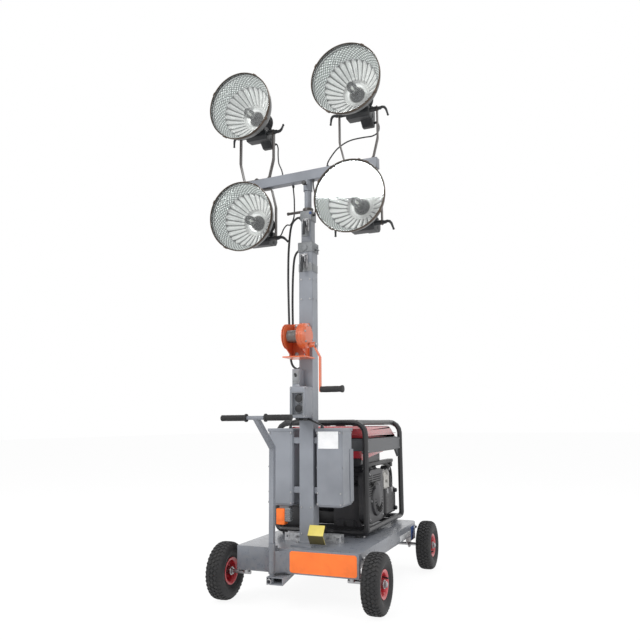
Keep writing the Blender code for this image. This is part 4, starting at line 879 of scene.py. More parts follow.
# A yoke is one bent strap with rounded tips and a foot bolt.
def makeYoke(up):
    reach = reachOf(up)
    half, foot, top, bend = 0.0125, 0.072, 0.100, 0.100
    tip = reach + 0.014
    line = [(-top, tip), (-top, reach * 0.72), (-top, bend + 0.012), (-top + 0.0022, bend),
            (-foot - 0.004, 0.012), (-foot + 0.002, 0.0046), (-foot + 0.012, 0.0028), (0.0, 0.0028),
            (foot - 0.012, 0.0028), (foot - 0.002, 0.0046), (foot + 0.004, 0.012), (top - 0.0022, bend),
            (top, bend + 0.012), (top, reach * 0.72), (top, tip)]
    points = [(x, side * half, up * z) for side in (-1, 1) for x, z in line]
    count = len(line)
    faces = [(i, i + 1, count + i + 1, count + i) for i in range(count - 1)]
    yoke = fromPoints("yoke", points, [], faces)
    workOn(yoke)
    bpy.ops.object.mode_set(mode="EDIT")
    bpy.ops.mesh.select_mode(type="VERT")
    bpy.ops.mesh.select_all(action="DESELECT")
    shape = bmesh.from_edit_mesh(yoke.data)
    for vertex in shape.verts:
        vertex.select_set(abs(abs(vertex.co.z) - tip) < 1e-5)
    bmesh.update_edit_mesh(yoke.data)
    bpy.ops.mesh.bevel(offset=0.0085, segments=4, affect="VERTICES")
    bpy.ops.mesh.select_all(action="SELECT")
    bpy.ops.mesh.normals_make_consistent(inside=False)
    bpy.ops.object.mode_set(mode="OBJECT")
    sheet = yoke.modifiers.new("sheet", "SOLIDIFY")
    sheet.thickness, sheet.offset = 0.005, 0.0
    applyAll(yoke)
    soften(yoke, 0.0009, 2, 50.0)
    bolt = boltHead(0.0105, 0.0075)
    place = shift(0, 0, up * 0.0062) @ turn(0 if up > 0 else 180, "X")
    return joined("yoke", [yoke, scattered("footBolt", bolt, [place])])


# A cast clamping lever: hub, swept arm and a ball at its end.
def makeLever():
    hub = lathe("hub", [(0.0, 0.0), (0.0150, 0.0), (0.0150, 0.004), (0.0120, 0.006), (0.0115, 0.020),
                        (0.0095, 0.023), (0.0, 0.0235)], 28, "X")
    curve = [(0.014, 0, 0.0), (0.030, 0, 0.004), (0.043, 0, 0.001), (0.052, 0, -0.012), (0.056, 0, -0.030),
             (0.060, 0, -0.052)]
    arm = [bar("arm", curve[i], curve[i + 1], 0.0105 - 0.0010 * i, 14, tip=0.0095 - 0.0010 * i)
           for i in range(len(curve) - 1)]
    deselect()
    knobs = []
    for i, place in enumerate(curve[1:-1]):
        bpy.ops.mesh.primitive_uv_sphere_add(segments=14, ring_count=8, radius=0.0095 - 0.0010 * i,
                                             location=place)
        knobs.append(settle("joint"))
        deselect()
    bpy.ops.mesh.primitive_uv_sphere_add(segments=18, ring_count=10, radius=0.0074, location=curve[-1])
    return joined("lever", [hub] + arm + knobs + [settle("tip")])


def makeLamps():
    bowl, bell, ring, pane = makeBowl(), makeBell(), makeRimRing(), makePane()
    envelope, arc, wires, socket = makeBulb()
    housings, lever = {1: makeHousing(0.062), -1: makeHousing(0.024)}, makeLever()
    yokes = {1: makeYoke(1), -1: makeYoke(-1)}
    # columns: piece, its shape, finish, the node it stands for
    bareLamp = [("bowl", bowl, "mirror", "reflector"), ("bell", bell, "spunMetal", ""),
                ("rim_ring", ring, "rimBronze", ""), ("pane", pane, "clearGlass", "lamp_glass"),
                ("bulb", envelope, "clearGlass", ""), ("arc_tube", arc, "frosted", ""),
                ("bulb_wires", wires, "steel", ""), ("socket_ring", socket, "castBlack", "")]
    slim = Matrix.Diagonal((lampShape["leverWidth"], 1.0, lampShape["leverHeight"], 1))
    for label, x, swing, droop, up in lampPlaces:
        place = lampFrame(x, swing, droop, up)
        for piece, shape, finish, node in bareLamp + [("housing", housings[up], "castBlack", "lamp_housing")]:
            smooth = 50.0 if piece == "bowl" else 32.0
            made = dress(copied(shape, f"{piece}_{label}", place), finish, f"lamp_{label}", smooth)
            if node:
                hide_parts(f"{node}_{label}")
        stem = stemFrame(x, swing, up)
        made = dress(copied(yokes[up], f"yoke_{label}_strap", stem), "yokeBrown", f"yoke_{label}")
        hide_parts(f"yoke_{label}")
        pivot = stem @ shift(0, 0, up * reachOf(up))
        for side, word, lean in ((-1, "left", leverLean[label][0]), (1, "right", leverLean[label][1])):
            seat = Matrix.Diagonal((side, 1, 1, 1)) @ shift(lampShape["leverSeat"], 0, 0)
            spot = pivot @ seat @ turn(lean, "X") @ slim
            dress(copied(lever, f"lever_{label}_{word}", spot), "castBlack", f"yoke_{label}")
    shapes = [row[1] for row in bareLamp]
    for part in [*shapes, lever, *housings.values(), *yokes.values()]:
        bpy.data.objects.remove(part)


makeLamps()
print("lamps ready")

# Every frame node that stays plain gets a copy with smooth shading and, where it has hard edges, a
# fine rounding.
# columns: the frame's node, its finish, width of the rounding
plainNodes = [
    ("deck", "deckGrey", 0.0022), ("tow_column", "towerGrey", 0.0), ("knuckle_left", "steel", 0.0),
    ("knuckle_right", "steel", 0.0), ("tie_rod", "steel", 0.0008), ("rear_axle", "steel", 0.0),
    ("mast_outer", "towerGrey", 0.0), ("mast_middle", "towerGrey", 0.0), ("top_pole", "towerGrey", 0.0),
    ("mast_clamp", "zincBright", 0.0008), ("middle_clamp", "zincBright", 0.0008),
    ("crossbar", "barGrey", 0.0), ("winch_frame", "winchOrange", 0.0), ("winch_drum", "winchOrange", 0.0),
    ("winch_crank", "winchOrange", 0.0), ("ballast_box_left", "boxGrey", 0.0),
    ("ballast_box_right", "boxGrey", 0.0), ("socket_box", "boxGrey", 0.0012),
    ("foot_pedal", "pedalYellow", 0.0008), ("generator_frame", "frameBlack", 0.0),
    ("fuel_tank", "tankRed", 0.0), ("control_panel", "panelGrey", 0.0), ("engine", "engineGrey", 0.0),
    ("air_filter", "plasticBlack", 0.0),
]
# node, then its second finish and the faces that get it
secondFinish = {
    "air_filter": ("castSilver", lambda at: at.z > 0.4445 and at.y < 0.415 and at.z < 0.5335),
    # the pedal's lower faces get a dark copy of its yellow as painted shade
    "foot_pedal": ("pedalYellowPaintedShade", lambda at: at.z < 0.3025),
}


def smoothNodes():
    for name, finish, width in plainNodes:
        part = copied(nodes[name], f"{name}_skin", Matrix.Identity(4))
        workOn(part)
        if width:
            bpy.ops.object.mode_set(mode="EDIT")
            bpy.ops.mesh.select_all(action="SELECT")
            bpy.ops.mesh.remove_doubles(threshold=0.00001)
            bpy.ops.mesh.dissolve_limited(angle_limit=math.radians(1.0))
            bpy.ops.object.mode_set(mode="OBJECT")
            soften(part, width, 2, 40.0)
        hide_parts(name)
        dress(part, finish, body_of(nodes[name])[0], 40.0)
        if name in secondFinish:
            other, chosen = secondFinish[name]
            part.data.materials.append(finishes[other])
            for face in part.data.polygons:
                face.material_index = int(chosen(face.center))


smoothNodes()
print("frame nodes smoothed")

cable = {"steps": 6, "lead": 0.0072}
# columns: name, diameter, route
cableRoutes = [
    ("mast_cable_long", 0.011, [(-0.0318, -0.352, 1.850), (-0.060, -0.354, 1.850), (-0.088, -0.358, 1.810),
                                (-0.100, -0.362, 1.690), (-0.103, -0.362, 1.560), (-0.101, -0.362, 1.430),
                                (-0.098, -0.360, 1.290), (-0.096, -0.358, 1.180), (-0.086, -0.356, 1.105),
                                (-0.062, -0.354, 1.078), (-0.0366, -0.354, 1.078)]),
    ("mast_cable_short", 0.011, [(-0.0408, -0.330, 1.684), (-0.060, -0.331, 1.684), (-0.080, -0.334, 1.650),
                                 (-0.088, -0.336, 1.560), (-0.090, -0.338, 1.430), (-0.088, -0.338, 1.290),
                                 (-0.084, -0.338, 1.190), (-0.070, -0.336, 1.142), (-0.054, -0.336, 1.128),
                                 (-0.0366, -0.336, 1.128)]),
    ("box_cable", 0.009, [(-0.094, -0.352, 0.7863), (-0.094, -0.352, 0.800), (-0.078, -0.372, 0.818),
                          (-0.045, -0.3842, 0.827), (-0.012, -0.3842, 0.8300), (0.022, -0.3842, 0.8280),
                          (0.048, -0.3840, 0.817), (0.066, -0.368, 0.806), (0.073, -0.354, 0.7985),
                          (0.073, -0.354, 0.7863)]),
    ("head_cable", 0.007, [(0.034, -0.352, 2.0456), (0.034, -0.353, 2.015), (0.042, -0.355, 1.970),
                           (0.046, -0.356, 1.925), (0.045, -0.355, 1.882), (0.040, -0.353, 1.858),
                           (0.0318, -0.352, 1.858)]),
]
leadExits = {"upper_left": [(0.0623, 0.078, -0.038), (0.078, 0.078, -0.038)],
             "upper_right": [(0.0623, 0.078, -0.038), (0.078, 0.078, -0.038)],
             "lower_left": [(0.0623, 0.074, 0.020), (0.078, 0.074, 0.020)],
             "lower_right": [(-0.0623, 0.040, -0.012), (-0.078, 0.040, -0.012)]}
leadRoutes = {
    "upper_left": [(0.088, 0.078, 0.206), (0.091, 0.072, 0.175), (0.097, 0.062, 0.140), (0.108, 0.048, 0.101),
                   (0.134, 0.026, 0.055), (0.148, 0.011, 0.022), (0.148, 0.010, 0.0003)],
    "upper_right": [(0.086, 0.078, 0.200), (0.078, 0.078, 0.174), (0.050, 0.077, 0.160),
                    (0.010, 0.076, 0.160), (-0.050, 0.067, 0.154), (-0.093, 0.058, 0.138),
                    (-0.134, 0.046, 0.105), (-0.160, 0.024, 0.056), (-0.171, 0.010, 0.022),
                    (-0.171, 0.010, 0.0003)],
    "lower_left": [(0.094, 0.076, -0.236), (0.108, 0.078, -0.205), (0.126, 0.080, -0.186),
                   (0.156, 0.062, -0.192), (0.186, 0.040, -0.158), (0.196, 0.022, -0.080),
                   (0.196, 0.011, -0.022), (0.196, 0.010, -0.0003)],
    "lower_right": [(-0.092, 0.046, -0.262), (-0.104, 0.050, -0.215), (-0.122, 0.045, -0.140),
                    (-0.138, 0.028, -0.075), (-0.142, 0.012, -0.035), (-0.142, 0.010, -0.0003)],
}


# A line through all the points of a route, rounded between them.
def throughPoints(route):
    route = [Vector(point) for point in route]
    ends = [2 * route[0] - route[1]] + route + [2 * route[-1] - route[-2]]
    line = []
    for i in range(len(route) - 1):
        a, b, c, d = ends[i:i + 4]
        for step in range(cable["steps"]):
            t = step / cable["steps"]
            line.append(0.5 * (2 * b + (c - a) * t + (2 * a - 5 * b + 4 * c - d) * t ** 2
                               + (3 * b - a - 3 * c + d) * t ** 3))
    return line + [route[-1]]


def makeCord(name, route, diameter, body):
    line = throughPoints(route)
    cord = tube(f"{name}_cord", line, diameter / 2, 3)
    cord.data.use_fill_caps = True
    cord.data.splines[0].use_smooth = True
    cord.data.materials.append(finishes["cableBlack"])
    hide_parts(name)
    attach(cord, body)
    length = sum((b - a).length for a, b in zip(line, line[1:]))
    print(f"{name}: {length:.3f} m")
    return line


# A gland or grommet where a cable goes in: a hexagon, a domed nut and a lip.
def makeGland(name, place, direction, radius, body):
    spot = facing(place, direction)
    gland = joined(name, [
        bar(name, (0, 0, -0.0002), (0, 0, 0.0042), radius * 2.1, 6, edge=radius * 0.15),
        lathe("nut", [(radius * 1.02, 0.0040), (radius * 1.75, 0.0040), (radius * 1.75, 0.0080),
                      (radius * 1.45, 0.0125), (radius * 1.02, 0.0130)], 24, "Z", closed=True)])
    gland.data.transform(spot)
    return dress(gland, "plasticBlack", body)


def makeCables():
    for name, diameter, route in cableRoutes:
        body = body_of(nodes[name])[0]
        line = makeCord(name, route, diameter, body)
        for label, end, inner in (("start", 0, 1), ("end", -1, -2)):
            makeGland(f"{name}_gland_{label}", line[end], line[inner] - line[end], diameter / 2, body)
    for label, x, swing, droop, up in lampPlaces:
        stem = stemFrame(x, swing, up)
        lamp = lampFrame(x, swing, droop, up)
        route = [lamp @ Vector(point) for point in leadExits[label]]
        route += [stem @ Vector(point) for point in leadRoutes[label]]
        line = makeCord(f"lamp_lead_{label}", route, cable["lead"], f"yoke_{label}")
        radius = cable["lead"] / 2
        makeGland(f"lead_gland_{label}", line[0], line[1] - line[0], radius, f"lamp_{label}")
        makeGland(f"lead_grommet_{label}", line[-1], line[-2] - line[-1], radius, f"yoke_{label}")


makeCables()
print("cables ready")

mast = {
    "front": mastY - 0.036, "rivets": (0.300, 0.420, 1.420, 1.520, 1.600), "strap": (1.560, 1.600),
    "outerBrake": 1.612, "middleBrake": 1.800, "plate": 1.684, "stayRing": 1.8875, "knob": 2.020,
    "weld": 0.2618, "weldOut": 0.0366, "weldPitch": 0.0042, "capPlace": 0.3835,
}


# Plates, rivets, clamping levers and the knob that holds the pole.
def makeMastFittings():
    front = mast["front"]
    rivet = bar("rivet", (0, 0, 0), (0, 0, 0.0022), 0.0045, 14, edge=0.0009)
    spots = [facing((x, front - 0.0008, z), (0, -1, 0)) for z in mast["rivets"] for x in (-0.024, 0.024)]
    spots += [facing((0.0368, mastY + y, z), (1, 0, 0)) for z in mast["rivets"] for y in (-0.022, 0.022)]
    dress(scattered("outer_rivets", rivet, spots), "steel", "base")
    low, high = mast["strap"]
    for part in (slab("strap", (-0.0365, front - 0.0030, low), (0.0365, front + 0.002, high), 0.0012),
                 slab("strap", (0.0340, mastY - 0.030, low), (0.0392, mastY + 0.030, high), 0.0012)):
        dress(part, "zincBright", "base")
    makeBrake("outer", (-0.006, front - 0.006, mast["outerBrake"]), "base", 1.0)
    makeBrake("middle", (0.002, mastY - 0.0340, mast["middleBrake"]), "mast_middle", 0.92)
    dress(slab("middle_plate", (-0.020, mastY - 0.0312, 1.745), (0.016, mastY - 0.0268, 1.868), 0.0012),
          "zincBright", "mast_middle")
    dress(slab("mark_plate", (0.0215, mastY - 0.0395, 1.858), (0.0330, mastY - 0.0310, 1.868), 0.0010),
          "markBlue", "mast_middle")
    ear = slab("ear", (0.0404, mastY - 0.012, 1.672), (0.0560, mastY + 0.012, 1.677), 0.0010)
    pin = bar("pin", (0.0500, mastY, 1.660), (0.0500, mastY, 1.690), 0.0035, 14, edge=0.0006)
    dress(joined("clamp_ear", [ear, pin]), "zincBright", "base")
    z = mast["plate"]
    dress(bar("round_plate", (-0.006, mastY - 0.0402, z), (-0.006, mastY - 0.0440, z), 0.0180, 36,
              edge=0.0010), "zincBright", "base")
    stay = joined("stay_rod", [
        lathe("stayRing", [(0.0188, -0.009), (0.0262, -0.009), (0.0275, -0.0075), (0.0275, 0.0075),
                           (0.0262, 0.009), (0.0188, 0.009)], 40, "Z", (0, mastY, mast["stayRing"]),
              closed=True),
        bar("stay", (-0.0265, mastY, 1.8855), (-0.112, mastY - 0.002, 1.8838), 0.0070, 20, edge=0.0008),
        bar("stayCap", (-0.106, mastY - 0.002, 1.8839), (-0.116, mastY - 0.002, 1.8837), 0.0085, 20,
            edge=0.0015)])
    dress(stay, "yokeBrown", "mast_middle")
    z = mast["knob"]
    knob = joined("pole_knob", [bar("screw", (0.0, mastY - 0.022, z), (0.0, mastY - 0.046, z), 0.0040, 16),
                                lathe("knobBody", [(0.0, 0.044), (0.0085, 0.044), (0.0120, 0.047),
                                                   (0.0125, 0.056), (0.0100, 0.061), (0.0, 0.062)], 12, "Y",
                                      (0.0, mastY, z))])
    dress(knob, "plasticBlack", "head")
    bolt = boltHead(0.0075, 0.0055)
    spots = [facing((x, mastY - 0.046, 0.2600), (0, 0, 1)) for x in (-0.042, 0.042)]
    dress(scattered("base_bolts", bolt, spots), "steel", "base")
    out, z, pitch = mast["weldOut"], mast["weld"], mast["weldPitch"]
    bead = bar("bead", (0, 0, -0.003), (0, 0, 0.003), 0.0040, 8, edge=0.0008)
    places = [shift(x, mastY - out, z) @ turn(90, "Y") @ turn(random.uniform(-9, 9), "X")
              for x in [-0.034 + pitch * n for n in range(17)]]
    places += [shift(side * out, y, z) @ turn(90, "X") for side in (-1, 1)
               for y in [mastY - 0.034 + pitch * n for n in range(15)]]
    dress(scattered("base_weld", bead, places), "towerGrey", "base")
    bead = bar("bead", (0, 0, -0.0026), (0, 0, 0.0026), 0.0026, 8, edge=0.0006)
    angles = [2 * math.pi * n / 34 for n in range(34)]
    places = [headFrame @ shift(0.0240 * math.cos(a), 0.0240 * math.sin(a), head["barBottom"] - 0.0008)
              @ Matrix.Rotation(a, 4, "Z") @ turn(90, "X") for a in angles if abs(math.sin(a)) < 0.80]
    dress(scattered("bar_weld", bead, places), "barGrey", "head")
    for side in (-1, 1):
        x = side * mast["capPlace"]
        cap = slab("end_cap", (x - 0.003, -0.0198, 0.0005), (x + 0.003, 0.0198, 0.0530), 0.0020)
        cap.data.transform(headFrame @ shift(0, 0, head["barBottom"]))
        dress(cap, "barGrey", "head")


# A cam lever on a small cheek plate that clamps one stage of the mast.
def makeBrake(name, place, body, size):
    cheeks = [slab("cheek", (x - 0.0016, -0.020, -0.006), (x + 0.0016, 0.006, 0.030), 0.0012)
              for x in (-0.011, 0.011)]
    plate = slab("plate", (-0.020, 0.000, -0.034), (0.020, 0.004, 0.040), 0.0016)
    axle = bar("axle", (-0.016, -0.014, 0.012), (0.016, -0.014, 0.012), 0.0040, 18, edge=0.0008)
    cam = profile("cam", [(-0.006, 0.024), (-0.022, 0.020), (-0.024, 0.004), (-0.012, 0.000),
                          (-0.004, 0.010)], "X", -0.0085, 0.0085, 0.0018)
    handle = profile("handle", [(-0.020, 0.016), (-0.027, 0.004), (-0.030, -0.046), (-0.036, -0.060),
                                (-0.030, -0.061), (-0.023, -0.047), (-0.016, 0.002)], "X",
                     -0.0075, 0.0075, 0.0018)
    bolts = scattered("bolts", boltHead(0.0042, 0.0035, False),
                      [facing((x, 0.000, z), (0, -1, 0)) for x in (-0.014, 0.014) for z in (-0.026, 0.034)])
    for part, finish in ((joined("bracket", [plate] + cheeks + [axle, bolts]), "steel"),
                         (joined("lever", [cam, handle]), "castBlack")):
        part.data.transform(shift(*place) @ Matrix.Diagonal((size, size, size, 1)))
        part.name = part.data.name = f"{name}_{part.name}"
        dress(part, finish, body)


makeMastFittings()
print("mast fittings ready")

winch = {"axisY": -0.455, "axisZ": 1.225, "left": -0.062, "right": 0.0085, "core": 0.026, "rope": 0.0024,
         "crankZ": 1.180, "gripX": 0.1075, "gripZ": 0.9675}


# Rope wound on the drum, the gear case's rim and screws, and the sleeve on the crank's grip.
def makeWinch():
    y, z = winch["axisY"], winch["axisZ"]
    line = []
    pitch, coil, steps = 2.1 * winch["rope"], winch["core"] + winch["rope"], 20
    turns = int((winch["right"] - winch["left"] - 0.010) / pitch)
    for step in range(turns * steps + 1):
        a = 2 * math.pi * step / steps
        line.append((winch["left"] + 0.005 + pitch * step / steps, y + coil * math.cos(a),
                     z + coil * math.sin(a)))
    rope = tube("drumRope", line, winch["rope"], 2)
    workOn(rope)
    bpy.ops.object.convert(target="MESH")
    dress(rope, "ropeSteel", "winch_drum")
    rim = lathe("gear_case_rim", [(0.0560, 0.0), (0.0612, 0.0), (0.0620, 0.0012), (0.0620, 0.0058),
                                  (0.0608, 0.0070), (0.0560, 0.0070)], 64, "X", (0.0215, y, z), closed=True)
    dress(rim, "winchOrange", "base")
    screws = scattered("case_screws", boltHead(0.0048, 0.0036), circleSpots(0.0487, y, z, 0.047, 6, 40))
    dress(screws, "steel", "base")
    boss = joined("drum_bolt", [bar("boss", (-0.0668, y, z), (-0.0745, y, z), 0.0150, 6, edge=0.0016),
                                bar("bossThread", (-0.0740, y, z), (-0.0790, y, z), 0.0075, 20, edge=0.0010)])
    dress(boss, "steel", "base")
    feet = scattered("winch_bolts", boltHead(0.0080, 0.0058),
                     [facing((x, -0.3838, h), (0, -1, 0)) for x in (-0.046, 0.004) for h in (1.145, 1.284)])
    dress(feet, "steel", "base")
    x, low = winch["gripX"], winch["gripZ"]
    grip = lathe("crank_sleeve", [(0.0128, 0.001), (0.0142, 0.002), (0.0138, 0.012), (0.0146, 0.030),
                                  (0.0142, 0.052), (0.0146, 0.074), (0.0138, 0.094), (0.0150, 0.102),
                                  (0.0168, 0.105), (0.0172, 0.112), (0.0150, 0.1145), (0.0, 0.1150)], 28, "X",
                 (x, y, low))
    dress(grip, "gripRubber", "winch_crank")
    high = winch["crankZ"]
    nut = bar("nut", (x - 0.0205, y, high), (x - 0.0135, y, high), 0.0105, 6, edge=0.0010)
    washer = bar("washer", (x - 0.0225, y, high), (x - 0.0203, y, high), 0.0140, 24)
    dress(joined("crank_nut_cap", [nut, washer]), "steel", "winch_crank")


makeWinch()
print("winch ready")

boxes = {"front": -0.379, "back": -0.229, "low": 0.4215, "high": 0.786, "left": (-0.2039, -0.0714),
         "doorScrews": (0.436, 0.487, 0.765), "screws": (0.436, 0.604, 0.765), "vents": 0.470, "pitch": 0.013,
         "right": (0.0493, 0.1818)}


# Ballast boxes: blank labels, door screws, a drip lid and vents; and the coupler under the left one.
def makeBoxes():
    front = boxes["front"]
    dress(slab("label_right", (0.0620, front - 0.0012, 0.6920), (0.1640, front + 0.001, 0.7720), 0.0004, 1),
          "labelWhite", "base")
    for side in ("left", "right"):
        low, high = boxes[side]
        lid = slab("lid", (low - 0.0016, front - 0.0018, boxes["high"] - 0.0140),
                   (high + 0.0016, boxes["back"] + 0.0016, boxes["high"] + 0.0016), 0.0016)
        seam = slab("seam", (low + 0.010, front - 0.0009, boxes["low"] + 0.012),
                    (high - 0.010, front + 0.001, boxes["low"] + 0.016), 0.0004, 1)
        dress(joined(f"box_lid_{side}", [lid, seam]), "boxGrey", "base")
        screw = bar("screw", (0, 0, 0), (0, 0, 0.0024), 0.0044, 16, edge=0.0008)
        spots = [facing((x, front, z), (0, -1, 0)) for x in (low + 0.009, high - 0.009)
                 for z in boxes["doorScrews"]]
        spots += [facing(((high if face > 0 else low), y, z), (face, 0, 0)) for face in (-1, 1)
                  for y in (front + 0.014, boxes["back"] - 0.014) for z in boxes["screws"]]
        spots += [facing((x, boxes["back"], z), (0, 1, 0)) for x in (low + 0.012, high - 0.012)
                  for z in boxes["screws"]]
        dress(scattered(f"box_screws_{side}", screw, spots), "steel", "base")
        vent = slab("vent", (-0.026, -0.0016, -0.0022), (0.026, 0.0016, 0.0022), 0.0012)
        middle = (low + high) / 2
        places = [shift(middle, boxes["back"], boxes["vents"] + boxes["pitch"] * n) for n in range(6)]
        dress(scattered(f"box_vents_{side}", vent, places), "plasticBlack", "base")
    body = joined("coupler", [slab("face", (-0.1620, -0.3720, 0.3330), (-0.1180, -0.3300, 0.4080), 0.0035),
                              slab("tongue", (-0.1560, -0.3750, 0.3550), (-0.1240, -0.3300, 0.3960), 0.0020)])
    dress(body, "stickerOrange", "base")
    ribs = [slab("core", (-0.1190, -0.3660, 0.3480), (-0.0920, -0.3360, 0.4120), 0.0020),
            slab("neck", (-0.1500, -0.3600, 0.4060), (-0.1000, -0.3400, 0.4222), 0.0020)]
    ribs += [slab("rib", (-0.1180, -0.3700, 0.3520 + 0.0085 * n), (-0.0880, -0.3340, 0.3560 + 0.0085 * n),
                  0.0010, 1) for n in range(7)]
    dress(joined("coupler_ribs", ribs), "plasticGrey", "base")


makeBoxes()

sockets = {"left": -0.0431, "right": 0.0371, "front": -0.4748, "recess": -0.4528}


# Two capped outlets in the recess, its raised edge, a breaker above it and the box's screws.
def makeSocketBox():
    front, recess = sockets["front"], sockets["recess"]
    flanges, lids = [], []
    for z in (0.879, 0.926):
        flanges.append(bar("flange", (-0.002, recess + 0.001, z), (-0.002, recess - 0.006, z), 0.0205, 32,
                           edge=0.0014))
        lids.append(joined("lid", [
            bar("lid", (-0.002, recess - 0.0058, z + 0.001), (-0.002, recess - 0.0105, z + 0.001), 0.0182, 32,
                edge=0.0016),
            slab("hinge", (-0.010, recess - 0.0110, z + 0.0150), (0.006, recess - 0.004, z + 0.0205),
                 0.0010)]))
    dress(joined("socket_flanges", flanges), "plasticGrey", "base")
    dress(joined("socket_lids", lids), "plasticBlack", "base")
    # columns: name, left, bottom, right, top
    edges = [("side", -0.0330, 0.8480, -0.0300, 0.9560), ("side", 0.0250, 0.8480, 0.0280, 0.9560),
             ("head", -0.0330, 0.9535, 0.0280, 0.9565), ("sill", -0.0330, 0.8475, 0.0280, 0.8505)]
    surround = [slab(name, (left, front - 0.0016, low), (right, front + 0.006, high), 0.0006, 1)
                for name, left, low, right, high in edges]
    dress(joined("recess_frame", surround), "plasticGrey", "base")
    breaker = joined("breaker", [slab("body", (-0.0420, -0.4380, 1.010), (-0.0142, -0.4330, 1.058), 0.0012),
                                 slab("lip", (-0.0450, -0.4362, 0.998), (-0.0112, -0.4335, 1.064), 0.0010)])
    dress(breaker, "plasticGrey", "base")
    lever = profile("breaker_lever", [(-0.4370, 1.030), (-0.4370, 1.042), (-0.4475, 1.050), (-0.4490, 1.045),
                                      (-0.4410, 1.034)], "X", -0.0330, -0.0232, 0.0008, 1)
    dress(lever, "plasticBlack", "base")
    screw = bar("screw", (0, 0, 0), (0, 0, 0.0022), 0.0036, 14, edge=0.0006)
    spots = [facing((x, front, z), (0, -1, 0)) for x in (-0.0375, 0.0325) for z in (0.843, 0.975)]
    spots += [facing((x, y, z), (side, 0, 0)) for side, x in ((1, sockets["right"]), (-1, sockets["left"]))
              for y in (-0.466, -0.388) for z in (0.846, 0.974)]
    dress(scattered("socket_screws", screw, spots), "steel", "base")
    for x in (-0.024, 0.016):
        makeGland(f"box_gland_{x}", (x, -0.425, 0.8362), (0, 0, -1), 0.0052, "base")


makeSocketBox()
print("boxes ready")

deck = {
    "top": 0.2514, "half": 0.3025, "front": -0.500, "sideBolts": (-0.450, -0.400, 0.455, 0.500),
    "bolts": [(-0.235, -0.10), (0.190, -0.10), (-0.235, 0.50), (0.190, 0.50), (-0.130, -0.286),
              (0.130, -0.286)],
}


# Sticker, bolts, plates and welds on the deck, and the pedal's tread.
def makeDeckFittings():
    # the blank sticker on the front skirt, with rounded corners
    outline = []
    corners = [(0.2780, 0.2310, 0), (-0.0180, 0.2310, 90), (-0.0180, 0.1620, 180), (0.2780, 0.1620, 270)]
    for x, z, start in corners:
        angles = [math.radians(start + 15 * n) for n in range(7)]
        outline += [(x + 0.012 * math.cos(a), z + 0.012 * math.sin(a)) for a in angles]
    dress(profile("sticker", outline, "Y", deck["front"] - 0.0010, deck["front"] + 0.0004),
          "stickerOrange", "base")
    bolt = boltHead(0.0078, 0.0060)
    spots = [shift(x, y, deck["top"]) for x, y in deck["bolts"]]
    spots += [facing((side * (deck["half"] + 0.0002), y, 0.222), (side, 0, 0)) for side in (-1, 1)
              for y in deck["sideBolts"]]
    dress(scattered("deck_bolts", bolt, spots), "steel", "base")
    dress(slab("rear_strip", (deck["half"] - 0.001, 0.392, 0.1660), (deck["half"] + 0.0028, 0.470, 0.2360),
               0.0012), "markBlue", "base")
    dress(slab("side_plate", (deck["half"] - 0.001, 0.150, 0.1930), (deck["half"] + 0.0032, 0.372, 0.2210),
               0.0012), "zinc", "base")
    beads = scattered("nose_weld", bar("bead", (0, 0, -0.0028), (0, 0, 0.0028), 0.0032, 8, edge=0.0006),
                      [shift(-0.102 + side * (0.056 - 0.0012 * n), -0.5015, 0.156 + 0.0045 * n)
                       @ turn(8 * side, "Y") for side in (-1, 1) for n in range(20)])
    dress(beads, "deckGrey", "base")
    tread = slab("bar", (-0.030, -0.0012, -0.0012), (0.030, 0.0012, 0.0012), 0.0006, 1)
    places = [shift(0.066, -0.4085 + 0.0044 * n, 0.3105 + 0.0074 * n) @ turn(-30, "X") for n in range(4)]
    dress(scattered("pedal_tread", tread, places), "pedalYellow", "base")


makeDeckFittings()


# Ribbed rubber grips and the ring pin under the handle's arm.
def makeHandle():
    for side, name in ((-1, "grip_left"), (1, "grip_right")):
        low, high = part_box(name)
        centre = Vector((0, (low.y + high.y) / 2, (low.z + high.z) / 2))
        length = high.x - low.x
        outer = low.x if side < 0 else high.x
        outline = [(0.0, 0.0), (0.0110, 0.0), (0.0135, 0.0025), (0.0140, 0.0060)]
        for rib in range(16):
            start = 0.0095 + rib * 0.0066
            outline += [(0.0122, start), (0.0136, start + 0.0012), (0.0136, start + 0.0036),
                        (0.0122, start + 0.0048)]
        outline += [(0.0130, length - 0.0100), (0.0178, length - 0.0080), (0.0184, length - 0.0050),
                    (0.0178, length - 0.0010), (0.0095, length), (0.0, length - 0.0005)]
        grip = lathe(f"{name}_ribbed", [(radius, -side * place) for radius, place in outline], 32, "X",
                     (outer, centre.y, centre.z))
        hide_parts(name)
        dress(grip, "gripRubber", body_of(nodes[name])[0])
    ring = lathe("pin_ring", [(0.0105 + 0.0018 * math.cos(a), 0.0018 * math.sin(a))
                              for a in [math.pi * n / 4 for n in range(8)]], 28, "Y",
                 (-0.103, -0.5640, 0.1180), closed=True)
    pin = joined("arm_pin", [ring, bar("pin", (-0.103, -0.5640, 0.1285), (-0.103, -0.5480, 0.1285), 0.0040,
                                       16, edge=0.0006)])
    dress(pin, "steel", "tow_column")


makeHandle()
print("deck and handle ready")

engineSet = {"left": -0.290, "face": 0.190, "axleY": 0.1196, "axleZ": 0.4089, "mount": 0.2857,
             "panelX": 0.2154, "panelLow": 0.6594, "panelHigh": 0.7294, "apronY": -0.1008, "apronZ": 0.6972,
             "outlets": (-0.1500, -0.0980, -0.0460), "pitch": 0.0110}


# One slot along X and the turns that carry it round a ring.
def ringOfSlots(count, inner, outer, width, depth):
    slot = slab("slot", (inner, -width / 2, -depth / 2), (outer, width / 2, depth / 2), width * 0.35)
    return slot, [turn(360.0 / count * n, "Z") for n in range(count)]


